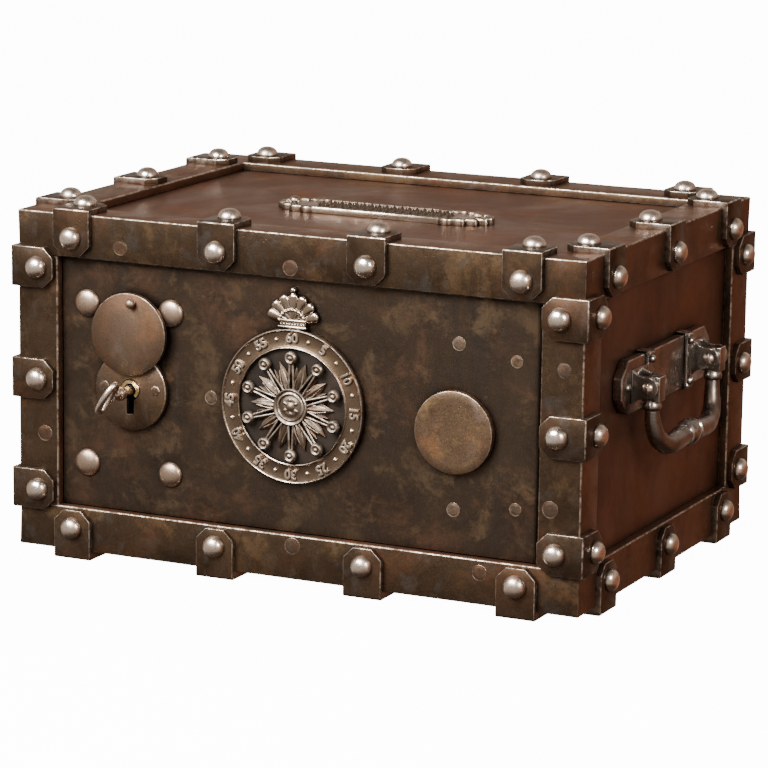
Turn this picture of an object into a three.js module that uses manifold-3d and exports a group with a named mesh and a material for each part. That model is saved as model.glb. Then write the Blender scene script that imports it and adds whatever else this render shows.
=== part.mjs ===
// Studded iron strongbox: a riveted carcass of plates and angle irons, a front door hung on its right
// edge, a key lock with a sliding bolt, a swinging keyhole cover and a bail handle on each side.
// Millimetres, +X right, +Y back, +Z up. The door faces -Y and the box stands on its bottom clips.
import * as THREE from 'three';
import { mergeVertices } from 'three/addons/utils/BufferGeometryUtils.js';
import ManifoldModule from 'manifold-3d';

const wasm = await ManifoldModule();
wasm.setup();

// Driving dimensions: the frame of angle irons
const frameWidth = 420;
const frameDepth = 305;
const frameHeight = 235;
const flange = 30;
const ironThickness = 6;
const plateThickness = 5;
const fitGap = 0.3; // between neighbouring pieces that sit on each other
const weld = 0.5; // how deep a fused detail sinks into what carries it

// Clips bent over the irons, and their rivet heads
const clipWidth = 28;
const clipThickness = 6;
const clipReach = 28.5; // how far a leg covers the flange
const clipChamfer = 8;
const clipSpacing = 0.5; // between the last clip of a rail and the clips of the post
const postClipInset = 9.5; // from the end of a post to the middle of its last clip
const postClipRaise = 1.2; // of the middle clip above the post's middle
const rivetRadius = 8;
const rivetHeight = 6.5;
const rivetInset = 16; // from the iron's corner to the rivet's axis

// Door, its frame and its pivots
const doorThickness = 10;
const doorGap = 1; // running gap round the door
const lipWidth = 8;
const lipThickness = 6;
const lipGap = 0.5;
const pivotRadius = 3;
const runningGap = 0.3; // between a pin and its bore
const pivotIntoDoor = 10;
const pivotIntoFrame = 9;
const strapLength = 66;
const strapHeight = 26;
const strapThickness = 5;
const strapSpread = 106; // between the two hinge straps
const strapInset = 10; // from the strap's end to the pivot axis

// Lock
const lockInset = 52.6; // from the doorway's left edge to the lock's middle
const caseWidth = 80;
const caseHeight = 126;
const caseDepth = 20;
const caseWall = 3;
const bossWidth = 13;
const studSpreadX = 65;
const studSpreadZ = 112;
const studRadius = 9.6;
const studHeight = 4.2;
const studShank = 3;
const smallStudRadius = 8.8; // the lower right one is a little smaller
const studSag = 1.5; // how much lower the right-hand studs were set
const boltHeight = 22;
const boltThickness = 10;
const boltTravel = 14;
const boltRise = 6; // from the key's axis to the bolt's lower edge
const boltEnd = 5; // what is left of the bolt behind its notch
const boltInset = 0.5; // how far the drawn bolt stays inside the case
const guideThickness = 3;

// Key
const keyOffset = 3.4; // from the lock's middle to the key, towards the hinge
const keyDrop = 0.5; // of the key below the door's middle
const keyLean = 32; // degrees that the key is turned past the keyhole's slot
const keyTurn = 270; // degrees that the key turns to throw the bolt
const stemRadius = 3.2;
const collarRadius = 4.8;
const collarOut = 14.6; // from the escutcheon to the collar
const bowOut = 31.9; // from the escutcheon to the bow's centre
const bowHalfLength = 11.6;
const bowHalfWidth = 5.5;
const bowWire = 2.3;
const bitReach = 16.3;
const bitThickness = 3.2;
const bitLength = 9;

// Keyhole escutcheon, bush and cover
const escutcheonRadius = 27.5;
const escutcheonThickness = 4.2;
const escutcheonDrop = 1; // of its centre below the key's axis
const bushRadius = 7;
const bushProud = 0.8;
const slotWidth = 5.6;
const slotDrop = 17;
const coverRadius = 28.5;
const coverThickness = 3;
const coverGap = 1.2;
const coverArm = 20.2; // from the cover's pivot to its centre
const coverPivotX = -2.5; // from the key's axis
const coverLean = 8.5; // degrees that the cover leans to the right
const coverPinRadius = 2.5;
const coverShoulder = 5;
const coverPinDepth = 5; // of the pin in the door
const knobRise = 42.5; // from the cover's pivot to its knob
const knobRadius = 3.4;
const knobShank = 1.3;

// Blind disc and badge on the door
const discInset = 61.8; // from the doorway's right edge to the blind disc's middle
const discDrop = 4.5; // below the door's middle
const discRadius = 28;
const discThickness = 5.2;
const discShank = 4;
const discShankDepth = 7;
const badgeX = -1;
const crestClearance = 4.7; // from the door's top edge to the crest's finial
const badgeShankDepth = 6;
const badgeRadius = 53;
const badgeInner = 39.5;
const badgeHeight = 4.5;
const badgeFloor = 1.2;
const hubRadius = 12;
const hubHeight = 5.4;
const rayCount = 8;
const rayLength = 32;
const rayWidth = 12.5;
const ballCircle = 33.5;
const ballRadius = 3.7;
const crestWidth = 40;
const crestHeight = 28;
const crestLobes = 7;
const crestFan = 74; // degrees that the outer lobes lean to each side

// Name plate on the top
const nameplateLength = 164;
const nameplateWidth = 40;
const nameplateThickness = 4.5;
const nameplateX = 2;
const nameplateY = -13;
const nameplateRivetSpread = 141;
const nameplateRivet = 4;
const scallopCount = 9;
const scallopDepth = 2.2;
const scallopLength = 34;

// Side handles, each with a pin height and a bail
const handleZ = 138.5;
const handleY = -4.3; // of the handle's middle from the middle of the side
const backLength = 164;
const backHeight = 37;
const backThickness = 6.8;
const backChamfer = 11;
const backRivet = 3;
const backRivetRise = 2.4;
const armSpread = 115; // between the middles of the bail's two arms
const footHeight = 23;
const footThickness = 1.4;
const tabWidth = 9;
const tabThickness = 2;
const tabHook = 1.6; // thickness of the tab where it laps over the plate's edge
const tabInset = 21; // from the arm to the middle of the bracket's tab
const tabStudInset = 4.5; // from the plate's edge to the tab's studs
const tabStudRise = 3.6;
const earThickness = 3.5;
const earRadius = 7.4;
const earGap = 0.4;
const handlePinRadius = 3.2;
const pinHeadRise = 2.2;
const blockThickness = 11;
const blockUp = 7.4;
const blockDown = 9.6;
const blockOut = 7.2;
const blockIn = 5.6;
const blockStandoff = 10.2; // from the bracket's foot to the pin
const bailDrop = 41.6;
const bailSag = 1.4; // how much lower the bail's corners hang than its middle
const bailBow = 4.6; // how far the grip stands out past the pins
const bailNeck = 4.4;
const bailGrip = 7.2;
const bailCollar = 6.5;
const collarLength = 7;
const cornerIn = 16.5; // from the arm to where the corner has turned into the grip
const beadRadius = 9;
const beadHalf = 9;
const beadRing = 1.8; // width of the ring at each end of the bead

// Places worked out from the dimensions
const halfX = frameWidth / 2;
const halfY = frameDepth / 2;
const panelX = halfX - ironThickness - fitGap;
const panelY = halfY - ironThickness - fitGap;
const panelBottom = ironThickness + fitGap;
const panelTop = frameHeight - ironThickness - fitGap;
const innerX = panelX - plateThickness;
const innerY = panelY - plateThickness;
const innerBottom = panelBottom + plateThickness;
const innerTop = panelTop - plateThickness;
const openingX = halfX - flange;
const openingBottom = flange;
const openingTop = frameHeight - flange;
const middleZ = frameHeight / 2;
const postClipSpread = frameHeight - 2 * flange - 2 * postClipInset;
const doorFront = -panelY;
const doorBack = doorFront + doorThickness;
const doorBottom = openingBottom + doorGap;
const doorTop = openingTop - doorGap;
const hingeX = openingX - doorGap - doorThickness / 2;
const lockCentreX = -openingX + lockInset;
const keyX = lockCentreX + keyOffset;
const keyZ = middleZ - keyDrop;
const discX = openingX - discInset;
const discZ = middleZ - discDrop;
const badgeZ = doorTop - crestClearance - crestHeight - fitGap - badgeRadius;
const hingeY = doorFront + doorThickness / 2;
const lipFront = doorBack + lipGap;
const lipBack = lipFront + lipThickness;
const mountFront = doorFront - fitGap; // where a fitting's back face lies on the door
const escutcheonFront = mountFront - escutcheonThickness;
const caseFront = doorBack + fitGap;
const caseBack = caseFront + caseDepth;
const boltFront = lipBack + fitGap;
const boltBack = boltFront + boltThickness;
const caseLeft = lockCentreX - caseWidth / 2;
const caseRight = lockCentreX + caseWidth / 2;
const deg = Math.PI / 180;

// Finishes
const ironFinish = new THREE.MeshStandardMaterial({ color: 0x4a3d34, roughness: 0.45, metalness: 0.9 });
const plateFinish = new THREE.MeshStandardMaterial({ color: 0x43332a, roughness: 0.5, metalness: 0.9 });
const steelFinish = new THREE.MeshStandardMaterial({ color: 0xa89a8e, roughness: 0.3, metalness: 1 });
const discFinish = new THREE.MeshStandardMaterial({ color: 0x84705c, roughness: 0.4, metalness: 0.9 });
const castFinish = new THREE.MeshStandardMaterial({ color: 0x77685a, roughness: 0.4, metalness: 0.9 });
const brassFinish = new THREE.MeshStandardMaterial({ color: 0xb8904e, roughness: 0.35, metalness: 1 });

// A closed geometry as a solid, with its faces turned out.
function solid(geometry) {
  const bare = geometry.clone();
  bare.deleteAttribute('normal');
  bare.deleteAttribute('uv');
  const merged = mergeVertices(bare, 1e-4);
  const triVerts = new Uint32Array(merged.index.array);
  const vertProperties = new Float32Array(merged.attributes.position.array);
  const made = new wasm.Manifold(new wasm.Mesh({ numProp: 3, vertProperties, triVerts }));
  if (made.volume() > 0) return made;
  const turned = triVerts.map((v, i) => triVerts[i % 3 === 1 ? i + 1 : i % 3 === 2 ? i - 1 : i]);
  return new wasm.Manifold(new wasm.Mesh({ numProp: 3, vertProperties, triVerts: turned }));
}

function join(...solids) {
  return solids.reduce((whole, next) => whole.add(next));
}

function cut(body, ...tools) {
  return tools.reduce((left, tool) => left.subtract(tool), body);
}

// A named mesh from a solid, with flat faces.
function piece(name, body, material) {
  const { vertProperties, triVerts } = body.getMesh();
  const indexed = new THREE.BufferGeometry();
  indexed.setAttribute('position', new THREE.BufferAttribute(new Float32Array(vertProperties), 3));
  indexed.setIndex(Array.from(triVerts));
  const geometry = indexed.toNonIndexed();
  geometry.computeVertexNormals();
  const mesh = new THREE.Mesh(geometry, material);
  mesh.name = name;
  return mesh;
}

// A block given by its lowest and highest corner.
function block(x0, x1, y0, y1, z0, z1) {
  const geometry = new THREE.BoxGeometry(x1 - x0, y1 - y0, z1 - z0);
  geometry.translate((x0 + x1) / 2, (y0 + y1) / 2, (z0 + z1) / 2);
  return solid(geometry);
}

// A profile of [radius, height] points turned about an axis that starts at a point.
function turned(profile, start, axis, sides) {
  const points = profile.map(([radius, height]) => new THREE.Vector2(radius, height));
  const geometry = new THREE.LatheGeometry(points, sides);
  const up = new THREE.Vector3(0, 1, 0);
  geometry.applyQuaternion(new THREE.Quaternion().setFromUnitVectors(up, axis));
  geometry.translate(start.x, start.y, start.z);
  return solid(geometry);
}

function rod(radius, start, axis, length, sides = 12) {
  return turned([[0, 0], [radius, 0], [radius, length], [0, length]], start, axis, sides);
}

const alongX = new THREE.Vector3(1, 0, 0);
const alongY = new THREE.Vector3(0, 1, 0);
const alongZ = new THREE.Vector3(0, 0, 1);
const toFront = new THREE.Vector3(0, -1, 0);
const at = (x, y, z) => new THREE.Vector3(x, y, z);

// A flat shape drawn in two axes and given its thickness along the third, from one level to another.
function slab(shape, across, up, from, to, curveSegments = 12) {
  const through = new THREE.Vector3().crossVectors(across, up);
  const geometry = new THREE.ExtrudeGeometry(shape, { depth: 1, bevelEnabled: false, curveSegments });
  geometry.scale(1, 1, to - from);
  geometry.translate(0, 0, from);
  geometry.applyMatrix4(new THREE.Matrix4().makeBasis(across, up, through));
  return solid(geometry);
}

// A slab drawn in X and Z whose thickness runs from a back face towards the front.
function frontSlab(shape, back, thickness, curveSegments = 12) {
  return slab(shape, alongX, alongZ, -back, -back + thickness, curveSegments);
}

function outline(points) {
  return new THREE.Shape(points.map(([a, b]) => new THREE.Vector2(a, b)));
}

// A round bar swept along a curve, thinner or thicker along its length.
function sweptBar(curve, radiusAt, steps, sides, closed = false) {
  const { normals, binormals } = curve.computeFrenetFrames(steps, closed);
  const rings = closed ? steps : steps + 1;
  const position = [];
  const index = [];
  for (let i = 0; i < rings; i++) {
    const centre = curve.getPointAt(i / steps);
    for (let j = 0; j < sides; j++) {
      const turn = (j / sides) * 2 * Math.PI;
      const out = normals[i].clone().multiplyScalar(Math.cos(turn));
      out.addScaledVector(binormals[i], Math.sin(turn));
      position.push(...centre.clone().addScaledVector(out, radiusAt(i / steps)).toArray());
    }
  }
  for (let i = 0; i < steps; i++) {
    const next = (i + 1) % rings;
    for (let j = 0; j < sides; j++) {
      const k = (j + 1) % sides;
      index.push(i * sides + j, next * sides + j, next * sides + k);
      index.push(i * sides + j, next * sides + k, i * sides + k);
    }
  }
  for (let j = 1; j < sides - 1 && !closed; j++) {
    index.push(0, j, j + 1);
    index.push(steps * sides, steps * sides + j + 1, steps * sides + j);
  }
  const geometry = new THREE.BufferGeometry();
  geometry.setAttribute('position', new THREE.Float32BufferAttribute(position, 3));
  geometry.setIndex(index);
  return solid(geometry);
}

// A domed rivet head on a face.
function dome(radius, height, start, axis, sides = 8) {
  const profile = [[0, -weld], [radius, -weld], [radius * 0.96, height * 0.32], [radius * 0.6, height * 0.84], [0, height]];
  return turned(profile, start, axis, sides);
}

// Evenly spaced places along a length, the first and last at an inset from its ends.
function spread(length, inset, count) {
  const step = (length - 2 * inset) / (count - 1);
  return Array.from({ length: count }, (_, i) => -length / 2 + inset + i * step);
}

// Angle irons
// An iron is drawn with its length along X, its first flange facing -Y and its second facing +Z, and
// then turned so that those flanges face the two outward directions that are asked for.
const railInset = clipReach + clipWidth / 2 + clipSpacing;

function clipLeg(place) {
  const half = clipWidth / 2;
  return outline([
    [place - half, -clipThickness], [place + half, -clipThickness],
    [place + half, clipReach - clipChamfer], [place + half - clipChamfer, clipReach],
    [place - half + clipChamfer, clipReach], [place - half, clipReach - clipChamfer],
  ]);
}

function angleIron({ name, first, second, corner, length, mitred, clips, headsOn }) {
  const reach = length / 2 - fitGap / 2;
  const profile = outline([[0, 0], [flange, 0], [flange, ironThickness], [ironThickness, ironThickness],
    [ironThickness, flange], [0, flange]]);
  const bar = new THREE.ExtrudeGeometry(profile, { depth: 1, bevelEnabled: false });
  const place = bar.attributes.position;
  for (let i = 0; i < place.count; i++) {
    const depth = place.getX(i);
    const under = place.getY(i);
    const side = place.getZ(i) < 0.5 ? -1 : 1;
    const end = reach - (mitred ? depth : 0);
    place.setXYZ(i, side * end, depth, -under);
  }
  const along = new THREE.Vector3().crossVectors(second, first);
  const wayAlong = along.x + along.y + along.z;
  let body = solid(bar);
  const down = alongZ.clone().negate();
  for (const clip of clips) {
    const where = clip * wayAlong;
    const frontLeg = slab(clipLeg(where), alongX, down, -clipThickness, weld, 1);
    const topLeg = slab(clipLeg(where), alongX, alongY, -weld, clipThickness, 1);
    body = join(body, frontLeg, topLeg);
    if (headsOn.includes('first')) {
      body = body.add(dome(rivetRadius, rivetHeight, at(where, -clipThickness, -rivetInset), toFront));
    }
    if (headsOn.includes('second')) {
      body = body.add(dome(rivetRadius, rivetHeight, at(where, rivetInset, clipThickness), alongZ));
    }
  }
  // The part of a clip that runs on past the iron's end stays clear of the iron that it meets there.
  for (const side of [-1, 1]) {
    const beyond = [side * reach, side * (reach + clipWidth)];
    body = body.subtract(block(Math.min(...beyond), Math.max(...beyond), -fitGap, 2 * flange, -2 * flange, fitGap));
  }
  const mesh = piece(name, body, ironFinish);
  const back = first.clone().negate();
  mesh.applyMatrix4(new THREE.Matrix4().makeBasis(along, back, second));
  mesh.position.copy(corner);
  return mesh;
}

function makeIrons() {
  const irons = new THREE.Group();
  const widthClips = spread(frameWidth, railInset, 4);
  const depthClips = spread(frameDepth, railInset, 3);
  const heightClips = [-1, 0, 1].map((level) => postClipRaise + (level * postClipSpread) / 2);
  const levels = [['top', alongZ, frameHeight, ['first', 'second']], ['bottom', alongZ.clone().negate(), 0, ['first']]];
  for (const [level, facing, z, headsOn] of levels) {
    for (const [where, side] of [['front', -1], ['back', 1]]) {
      irons.add(angleIron({ name: `${level}_${where}_iron`, first: at(0, side, 0), second: facing,
        corner: at(0, side * halfY, z), length: frameWidth, mitred: true, clips: widthClips, headsOn }));
    }
    for (const [where, side] of [['left', -1], ['right', 1]]) {
      irons.add(angleIron({ name: `${level}_${where}_iron`, first: at(side, 0, 0), second: facing,
        corner: at(side * halfX, 0, z), length: frameDepth, mitred: true, clips: depthClips, headsOn }));
    }
  }
  for (const [depthName, sideY] of [['front', -1], ['back', 1]]) {
    for (const [widthName, sideX] of [['left', -1], ['right', 1]]) {
      irons.add(angleIron({ name: `${depthName}_${widthName}_post`, first: at(0, sideY, 0),
        second: at(sideX, 0, 0), corner: at(sideX * halfX, sideY * halfY, middleZ),
        length: frameHeight - 2 * flange - fitGap, mitred: false, clips: heightClips, headsOn: ['first', 'second'] }));
    }
  }
  return irons;
}

// Carcass plates and the door frame
function makeCarcass() {
  const carcass = new THREE.Group();
  const sideBottom = innerBottom + fitGap;
  const sideTop = innerTop - fitGap;
  const backHalf = innerX - fitGap;
  carcass.add(
    piece('top_plate', block(-panelX, panelX, -panelY, panelY, innerTop, panelTop), plateFinish),
    piece('bottom_plate', block(-panelX, panelX, -panelY, panelY, panelBottom, innerBottom), plateFinish),
    piece('left_plate', block(-panelX, -innerX, -panelY, panelY, sideBottom, sideTop), plateFinish),
    piece('right_plate', block(innerX, panelX, -panelY, panelY, sideBottom, sideTop), plateFinish),
    piece('back_plate', block(-backHalf, backHalf, innerY, panelY, sideBottom, sideTop), plateFinish),
  );
  let ring = block(-backHalf, backHalf, doorFront, lipBack, sideBottom, sideTop);
  ring = cut(ring,
    block(-openingX, openingX, doorFront - 1, lipFront, openingBottom, openingTop),
    block(-openingX + lipWidth, openingX - lipWidth, lipFront - 1, lipBack + 1,
      openingBottom + lipWidth, openingTop - lipWidth),
    rod(pivotRadius + runningGap, at(hingeX, hingeY, openingTop - 1), alongZ, pivotIntoFrame + 2),
    rod(pivotRadius + runningGap, at(hingeX, hingeY, openingBottom - pivotIntoFrame - 1), alongZ,
      pivotIntoFrame + 2),
  );
  carcass.add(piece('door_frame', ring, plateFinish));
  const pivotLength = pivotIntoFrame + doorGap + pivotIntoDoor;
  const pivotFoot = [['door_pivot_top', doorTop - pivotIntoDoor], ['door_pivot_bottom', openingBottom - pivotIntoFrame]];
  for (const [name, z] of pivotFoot) {
    carcass.add(piece(name, rod(pivotRadius, at(hingeX, hingeY, z), alongZ, pivotLength), steelFinish));
  }
  return carcass;
}

// Door with its hinge straps
const studPlaces = [['upper_left', -1, 1], ['upper_right', 1, 1], ['lower_left', -1, -1], ['lower_right', 1, -1]];

function studAt(side, level) {
  const sag = side > 0 ? studSag : 0;
  return at(lockCentreX + (side * studSpreadX) / 2, doorFront, middleZ + (level * studSpreadZ) / 2 - sag);
}

// The keyhole's outline as a cutter: a round hole for the stem and a slot below it for the bit.
function keyholeCutter(radius, front, back) {
  const length = back - front;
  return join(
    rod(radius, at(keyX, front, keyZ), alongY, length),
    block(keyX - slotWidth / 2, keyX + slotWidth / 2, front, back, keyZ - slotDrop, keyZ),
  );
}

function makeDoor() {
  const door = new THREE.Group();
  const plan = new THREE.Shape();
  plan.moveTo(-openingX + doorGap, doorFront);
  plan.lineTo(hingeX, doorFront);
  plan.absarc(hingeX, hingeY, doorThickness / 2, -Math.PI / 2, Math.PI / 2, false);
  plan.lineTo(-openingX + doorGap, doorBack);
  let plate = slab(plan, alongX, alongY, doorBottom, doorTop, 8);
  plate = cut(plate,
    keyholeCutter(stemRadius + 1, doorFront - 1, doorBack + 1),
    rod(coverPinRadius + fitGap, at(keyX + coverPivotX, doorFront - 1, coverPivotZ), alongY, coverPinDepth + 2),
    rod(discShank + fitGap, at(discX, doorFront - 1, discZ), alongY, discShankDepth + 1),
    rod(studShank + fitGap, at(badgeX, doorFront - 1, badgeZ), alongY, badgeShankDepth + 2),
    rod(pivotRadius + runningGap, at(hingeX, hingeY, doorTop - pivotIntoDoor - 1), alongZ, pivotIntoDoor + 2),
    rod(pivotRadius + runningGap, at(hingeX, hingeY, doorBottom - 1), alongZ, pivotIntoDoor + 2),
  );
  for (const [, side, level] of studPlaces) {
    const hole = studAt(side, level).add(at(0, -1, 0));
    plate = plate.subtract(rod(studShank + fitGap, hole, alongY, doorThickness + 2, 8));
  }
  door.add(piece('door_plate', plate, plateFinish));
  for (const [name, level] of [['hinge_strap_upper', 1], ['hinge_strap_lower', -1]]) {
    const z = middleZ + (level * strapSpread) / 2 - 2;
    const strapEnd = hingeX - strapInset;
    const strap = outline([[strapEnd - strapLength, z - strapHeight / 4], [strapEnd - strapLength * 0.8, z - strapHeight / 2],
      [strapEnd, z - strapHeight / 2], [strapEnd, z + strapHeight / 2],
      [strapEnd - strapLength * 0.8, z + strapHeight / 2], [strapEnd - strapLength, z + strapHeight / 4]]);
    door.add(piece(name, frontSlab(strap, caseFront + strapThickness, strapThickness), plateFinish));
  }
  return door;
}

// Lock: studs, case, bolt, escutcheon, bush, key and cover
const coverPivotZ = keyZ - escutcheonDrop + coverArm;
const bitUp = keyLean + 180; // degrees of turn that bring the bit upright under the bolt
const bitEntry = Math.acos(boltRise / bitReach) / deg;
const drawnBy = (turn) => (boltTravel * turn) / keyTurn;
const notchRoom = 2.8;
const notchRight = bitReach * Math.sin(bitEntry * deg) + drawnBy(bitUp - bitEntry) + notchRoom;
const notchLeft = bitReach * Math.sin((keyTurn - bitUp) * deg) - boltTravel + notchRoom;
const boltBottom = keyZ + boltRise;
const boltTop = boltBottom + boltHeight;

function makeLockCase() {
  const bottom = middleZ - caseHeight / 2;
  const top = middleZ + caseHeight / 2;
  const innerBack = caseBack - caseWall;
  let tray = cut(
    block(caseLeft, caseRight, caseFront, caseBack, bottom, top),
    block(caseLeft + caseWall, caseRight - caseWall, caseFront - 1, innerBack, bottom + caseWall, top - caseWall),
  );
  for (const [, side, level] of studPlaces) {
    const centre = studAt(side, level);
    const half = bossWidth / 2;
    tray = tray.add(block(centre.x - half, centre.x + half, caseFront, innerBack + weld, centre.z - half, centre.z + half));
  }
  const guideBack = innerBack + weld;
  const lowerGuideEnd = keyX - bitReach - 2;
  tray = join(tray,
    block(caseLeft + weld, caseRight - weld, boltFront, guideBack, boltTop + fitGap, boltTop + fitGap + guideThickness),
    block(caseLeft + weld, lowerGuideEnd, boltFront, guideBack, boltBottom - fitGap - guideThickness, boltBottom - fitGap),
  );
  tray = tray.subtract(block(caseLeft - 1, caseLeft + caseWall + weld, boltFront - fitGap, boltBack + fitGap,
    boltBottom - fitGap, boltTop + fitGap));
  for (const [, side, level] of studPlaces) {
    const hole = studAt(side, level).setY(caseFront - 1);
    tray = tray.subtract(rod(studShank + fitGap, hole, alongY, caseDepth - caseWall, 10));
  }
  return piece('lock_case', tray, plateFinish);
}

function makeBolt() {
  const tip = caseLeft + boltInset;
  const end = keyX + notchRight + boltEnd;
  const bar = block(tip, end, boltFront, boltBack, boltBottom, boltTop);
  const notchTop = keyZ + bitReach + 1.2;
  const notch = block(keyX - notchLeft, keyX + notchRight, boltFront - 1, boltBack + 1, boltBottom - 1, notchTop);
  return piece('lock_bolt', bar.subtract(notch), steelFinish);
}

function makeStuds() {
  const studs = new THREE.Group();
  for (const [name, side, level] of studPlaces) {
    const seat = studAt(side, level);
    const base = mountFront - doorFront;
    const shankEnd = doorThickness + caseDepth / 2;
    const radius = name === 'lower_right' ? smallStudRadius : studRadius;
    const profile = [[0, -shankEnd], [studShank, -shankEnd], [studShank, -base], [radius, -base],
      [radius * 0.86, studHeight * 0.6 - base], [radius * 0.48, studHeight * 0.92 - base], [0, studHeight - base]];
    studs.add(piece(`lock_stud_${name}`, turned(profile, seat, toFront, 14), steelFinish));
  }
  return studs;
}

function makeEscutcheon() {
  const centreZ = keyZ - escutcheonDrop;
  const bevel = 0.8;
  const disc = turned([[0, 0], [escutcheonRadius, 0], [escutcheonRadius, escutcheonThickness - bevel],
    [escutcheonRadius - bevel, escutcheonThickness], [0, escutcheonThickness]],
  at(keyX, mountFront, centreZ), toFront, 32);
  const front = escutcheonFront - 1;
  const body = cut(disc,
    rod(bushRadius + fitGap, at(keyX, front, keyZ), alongY, escutcheonThickness + 2, 20),
    block(keyX - slotWidth / 2, keyX + slotWidth / 2, front, mountFront + 1, keyZ - slotDrop, keyZ),
    rod(coverPinRadius + fitGap, at(keyX + coverPivotX, front, coverPivotZ), alongY, escutcheonThickness + 2, 12),
  );
  return piece('keyhole_escutcheon', body, discFinish);
}

function makeBush() {
  const front = escutcheonFront - bushProud;
  const length = mountFront - front;
  const ring = cut(
    rod(bushRadius, at(keyX, front, keyZ), alongY, length, 20),
    rod(stemRadius + 1, at(keyX, front - 1, keyZ), alongY, length + 2, 16),
    block(keyX - slotWidth / 2, keyX + slotWidth / 2, front - 1, mountFront + 1, keyZ - bushRadius - 1, keyZ),
  );
  return piece('keyhole_bush', ring, brassFinish);
}

// The key is drawn upright, with its bit down, and turned in its group.
function makeKey() {
  const collarAt = -collarOut;
  const bowAt = -bowOut;
  const neck = stemRadius * 0.85;
  const stemEnd = boltBack - escutcheonFront;
  const toBow = bowAt + bowHalfWidth - bowWire * 0.3;
  const profile = [[0, stemEnd], [stemRadius, stemEnd], [stemRadius, collarAt + 3], [collarRadius * 0.85, collarAt + 2],
    [collarRadius, collarAt], [collarRadius * 0.85, collarAt - 2], [neck, collarAt - 3.4], [neck, toBow], [0, toBow]];
  const stem = turned(profile, at(0, 0, 0), alongY, 12);
  const loop = new THREE.EllipseCurve(0, 0, bowHalfLength, bowHalfWidth);
  const loopPoints = loop.getPoints(32).slice(0, -1).map((p) => at(0, bowAt + p.y, p.x));
  const bow = sweptBar(new THREE.CatmullRomCurve3(loopPoints, true), () => bowWire, 20, 6, true);
  const bitBack = stemEnd - 0.5;
  const bitFront = bitBack - bitLength;
  const wardFrom = bitReach * 0.6;
  const bit = cut(
    block(-bitThickness / 2, bitThickness / 2, bitFront, bitBack, -bitReach, -stemRadius * 0.6),
    block(-bitThickness, bitThickness, bitFront + bitLength * 0.3, bitFront + bitLength * 0.45, -bitReach - 1, -wardFrom),
    block(-bitThickness, bitThickness, bitFront + bitLength * 0.65, bitFront + bitLength * 0.78, -bitReach - 1, -wardFrom),
  );
  const mesh = piece('key', join(stem, bow, bit), steelFinish);
  const turnedKey = new THREE.Group();
  turnedKey.position.set(keyX, escutcheonFront, keyZ);
  turnedKey.rotation.y = keyLean * deg;
  turnedKey.add(mesh);
  return turnedKey;
}

// The cover, its pin and its knob are drawn upright about the pivot, and leant in their group.
function makeCover() {
  const back = escutcheonFront - coverGap;
  const bevel = 0.7;
  const rim = [[0, 0], [coverRadius, 0], [coverRadius, coverThickness - bevel],
    [coverRadius - bevel, coverThickness], [0, coverThickness]];
  const disc = cut(
    turned(rim, at(0, back, coverArm), toFront, 32),
    rod(coverPinRadius + runningGap, at(0, back + 1, 0), toFront, coverThickness + 2, 12),
    rod(knobShank + fitGap, at(0, back + 1, knobRise), toFront, coverThickness + 2, 8),
  );
  const coverFront = coverThickness;
  const knobBase = coverFront + fitGap;
  const knob = turned([[0, 0.4], [knobShank, 0.4], [knobShank, knobBase], [knobRadius * 0.7, knobBase],
    [knobRadius, knobBase + knobRadius * 0.7], [knobRadius * 0.8, knobBase + knobRadius * 1.35],
    [knobRadius * 0.4, knobBase + knobRadius * 1.65], [0, knobBase + knobRadius * 1.72]],
  at(0, back, knobRise), toFront, 10);
  const leant = new THREE.Group();
  leant.position.set(keyX + coverPivotX, 0, coverPivotZ);
  leant.rotation.y = coverLean * deg;
  leant.add(piece('keyhole_cover', disc, discFinish), piece('cover_knob', knob, steelFinish));
  const shoulderBack = fitGap;
  const shoulderFront = coverGap - fitGap;
  const pinEnd = escutcheonThickness + fitGap + coverPinDepth;
  const pin = turned([[0, -pinEnd], [coverPinRadius, -pinEnd], [coverPinRadius, shoulderBack],
    [coverShoulder, shoulderBack], [coverShoulder, shoulderFront], [coverPinRadius, shoulderFront],
    [coverPinRadius, coverGap + coverThickness], [0, coverGap + coverThickness]],
  at(keyX + coverPivotX, escutcheonFront, coverPivotZ), toFront, 12);
  const cover = new THREE.Group();
  cover.add(leant, piece('cover_pivot_pin', pin, steelFinish));
  return cover;
}

// Blind disc and badge
function makeBlindDisc() {
  const bevel = 0.8;
  const disc = turned([[0, -discShankDepth], [discShank, -discShankDepth], [discShank, 0], [discRadius, 0],
    [discRadius, discThickness - bevel], [discRadius - bevel, discThickness], [0, discThickness]],
  at(discX, mountFront, discZ), toFront, 32);
  return piece('blind_disc', disc, discFinish);
}

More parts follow.
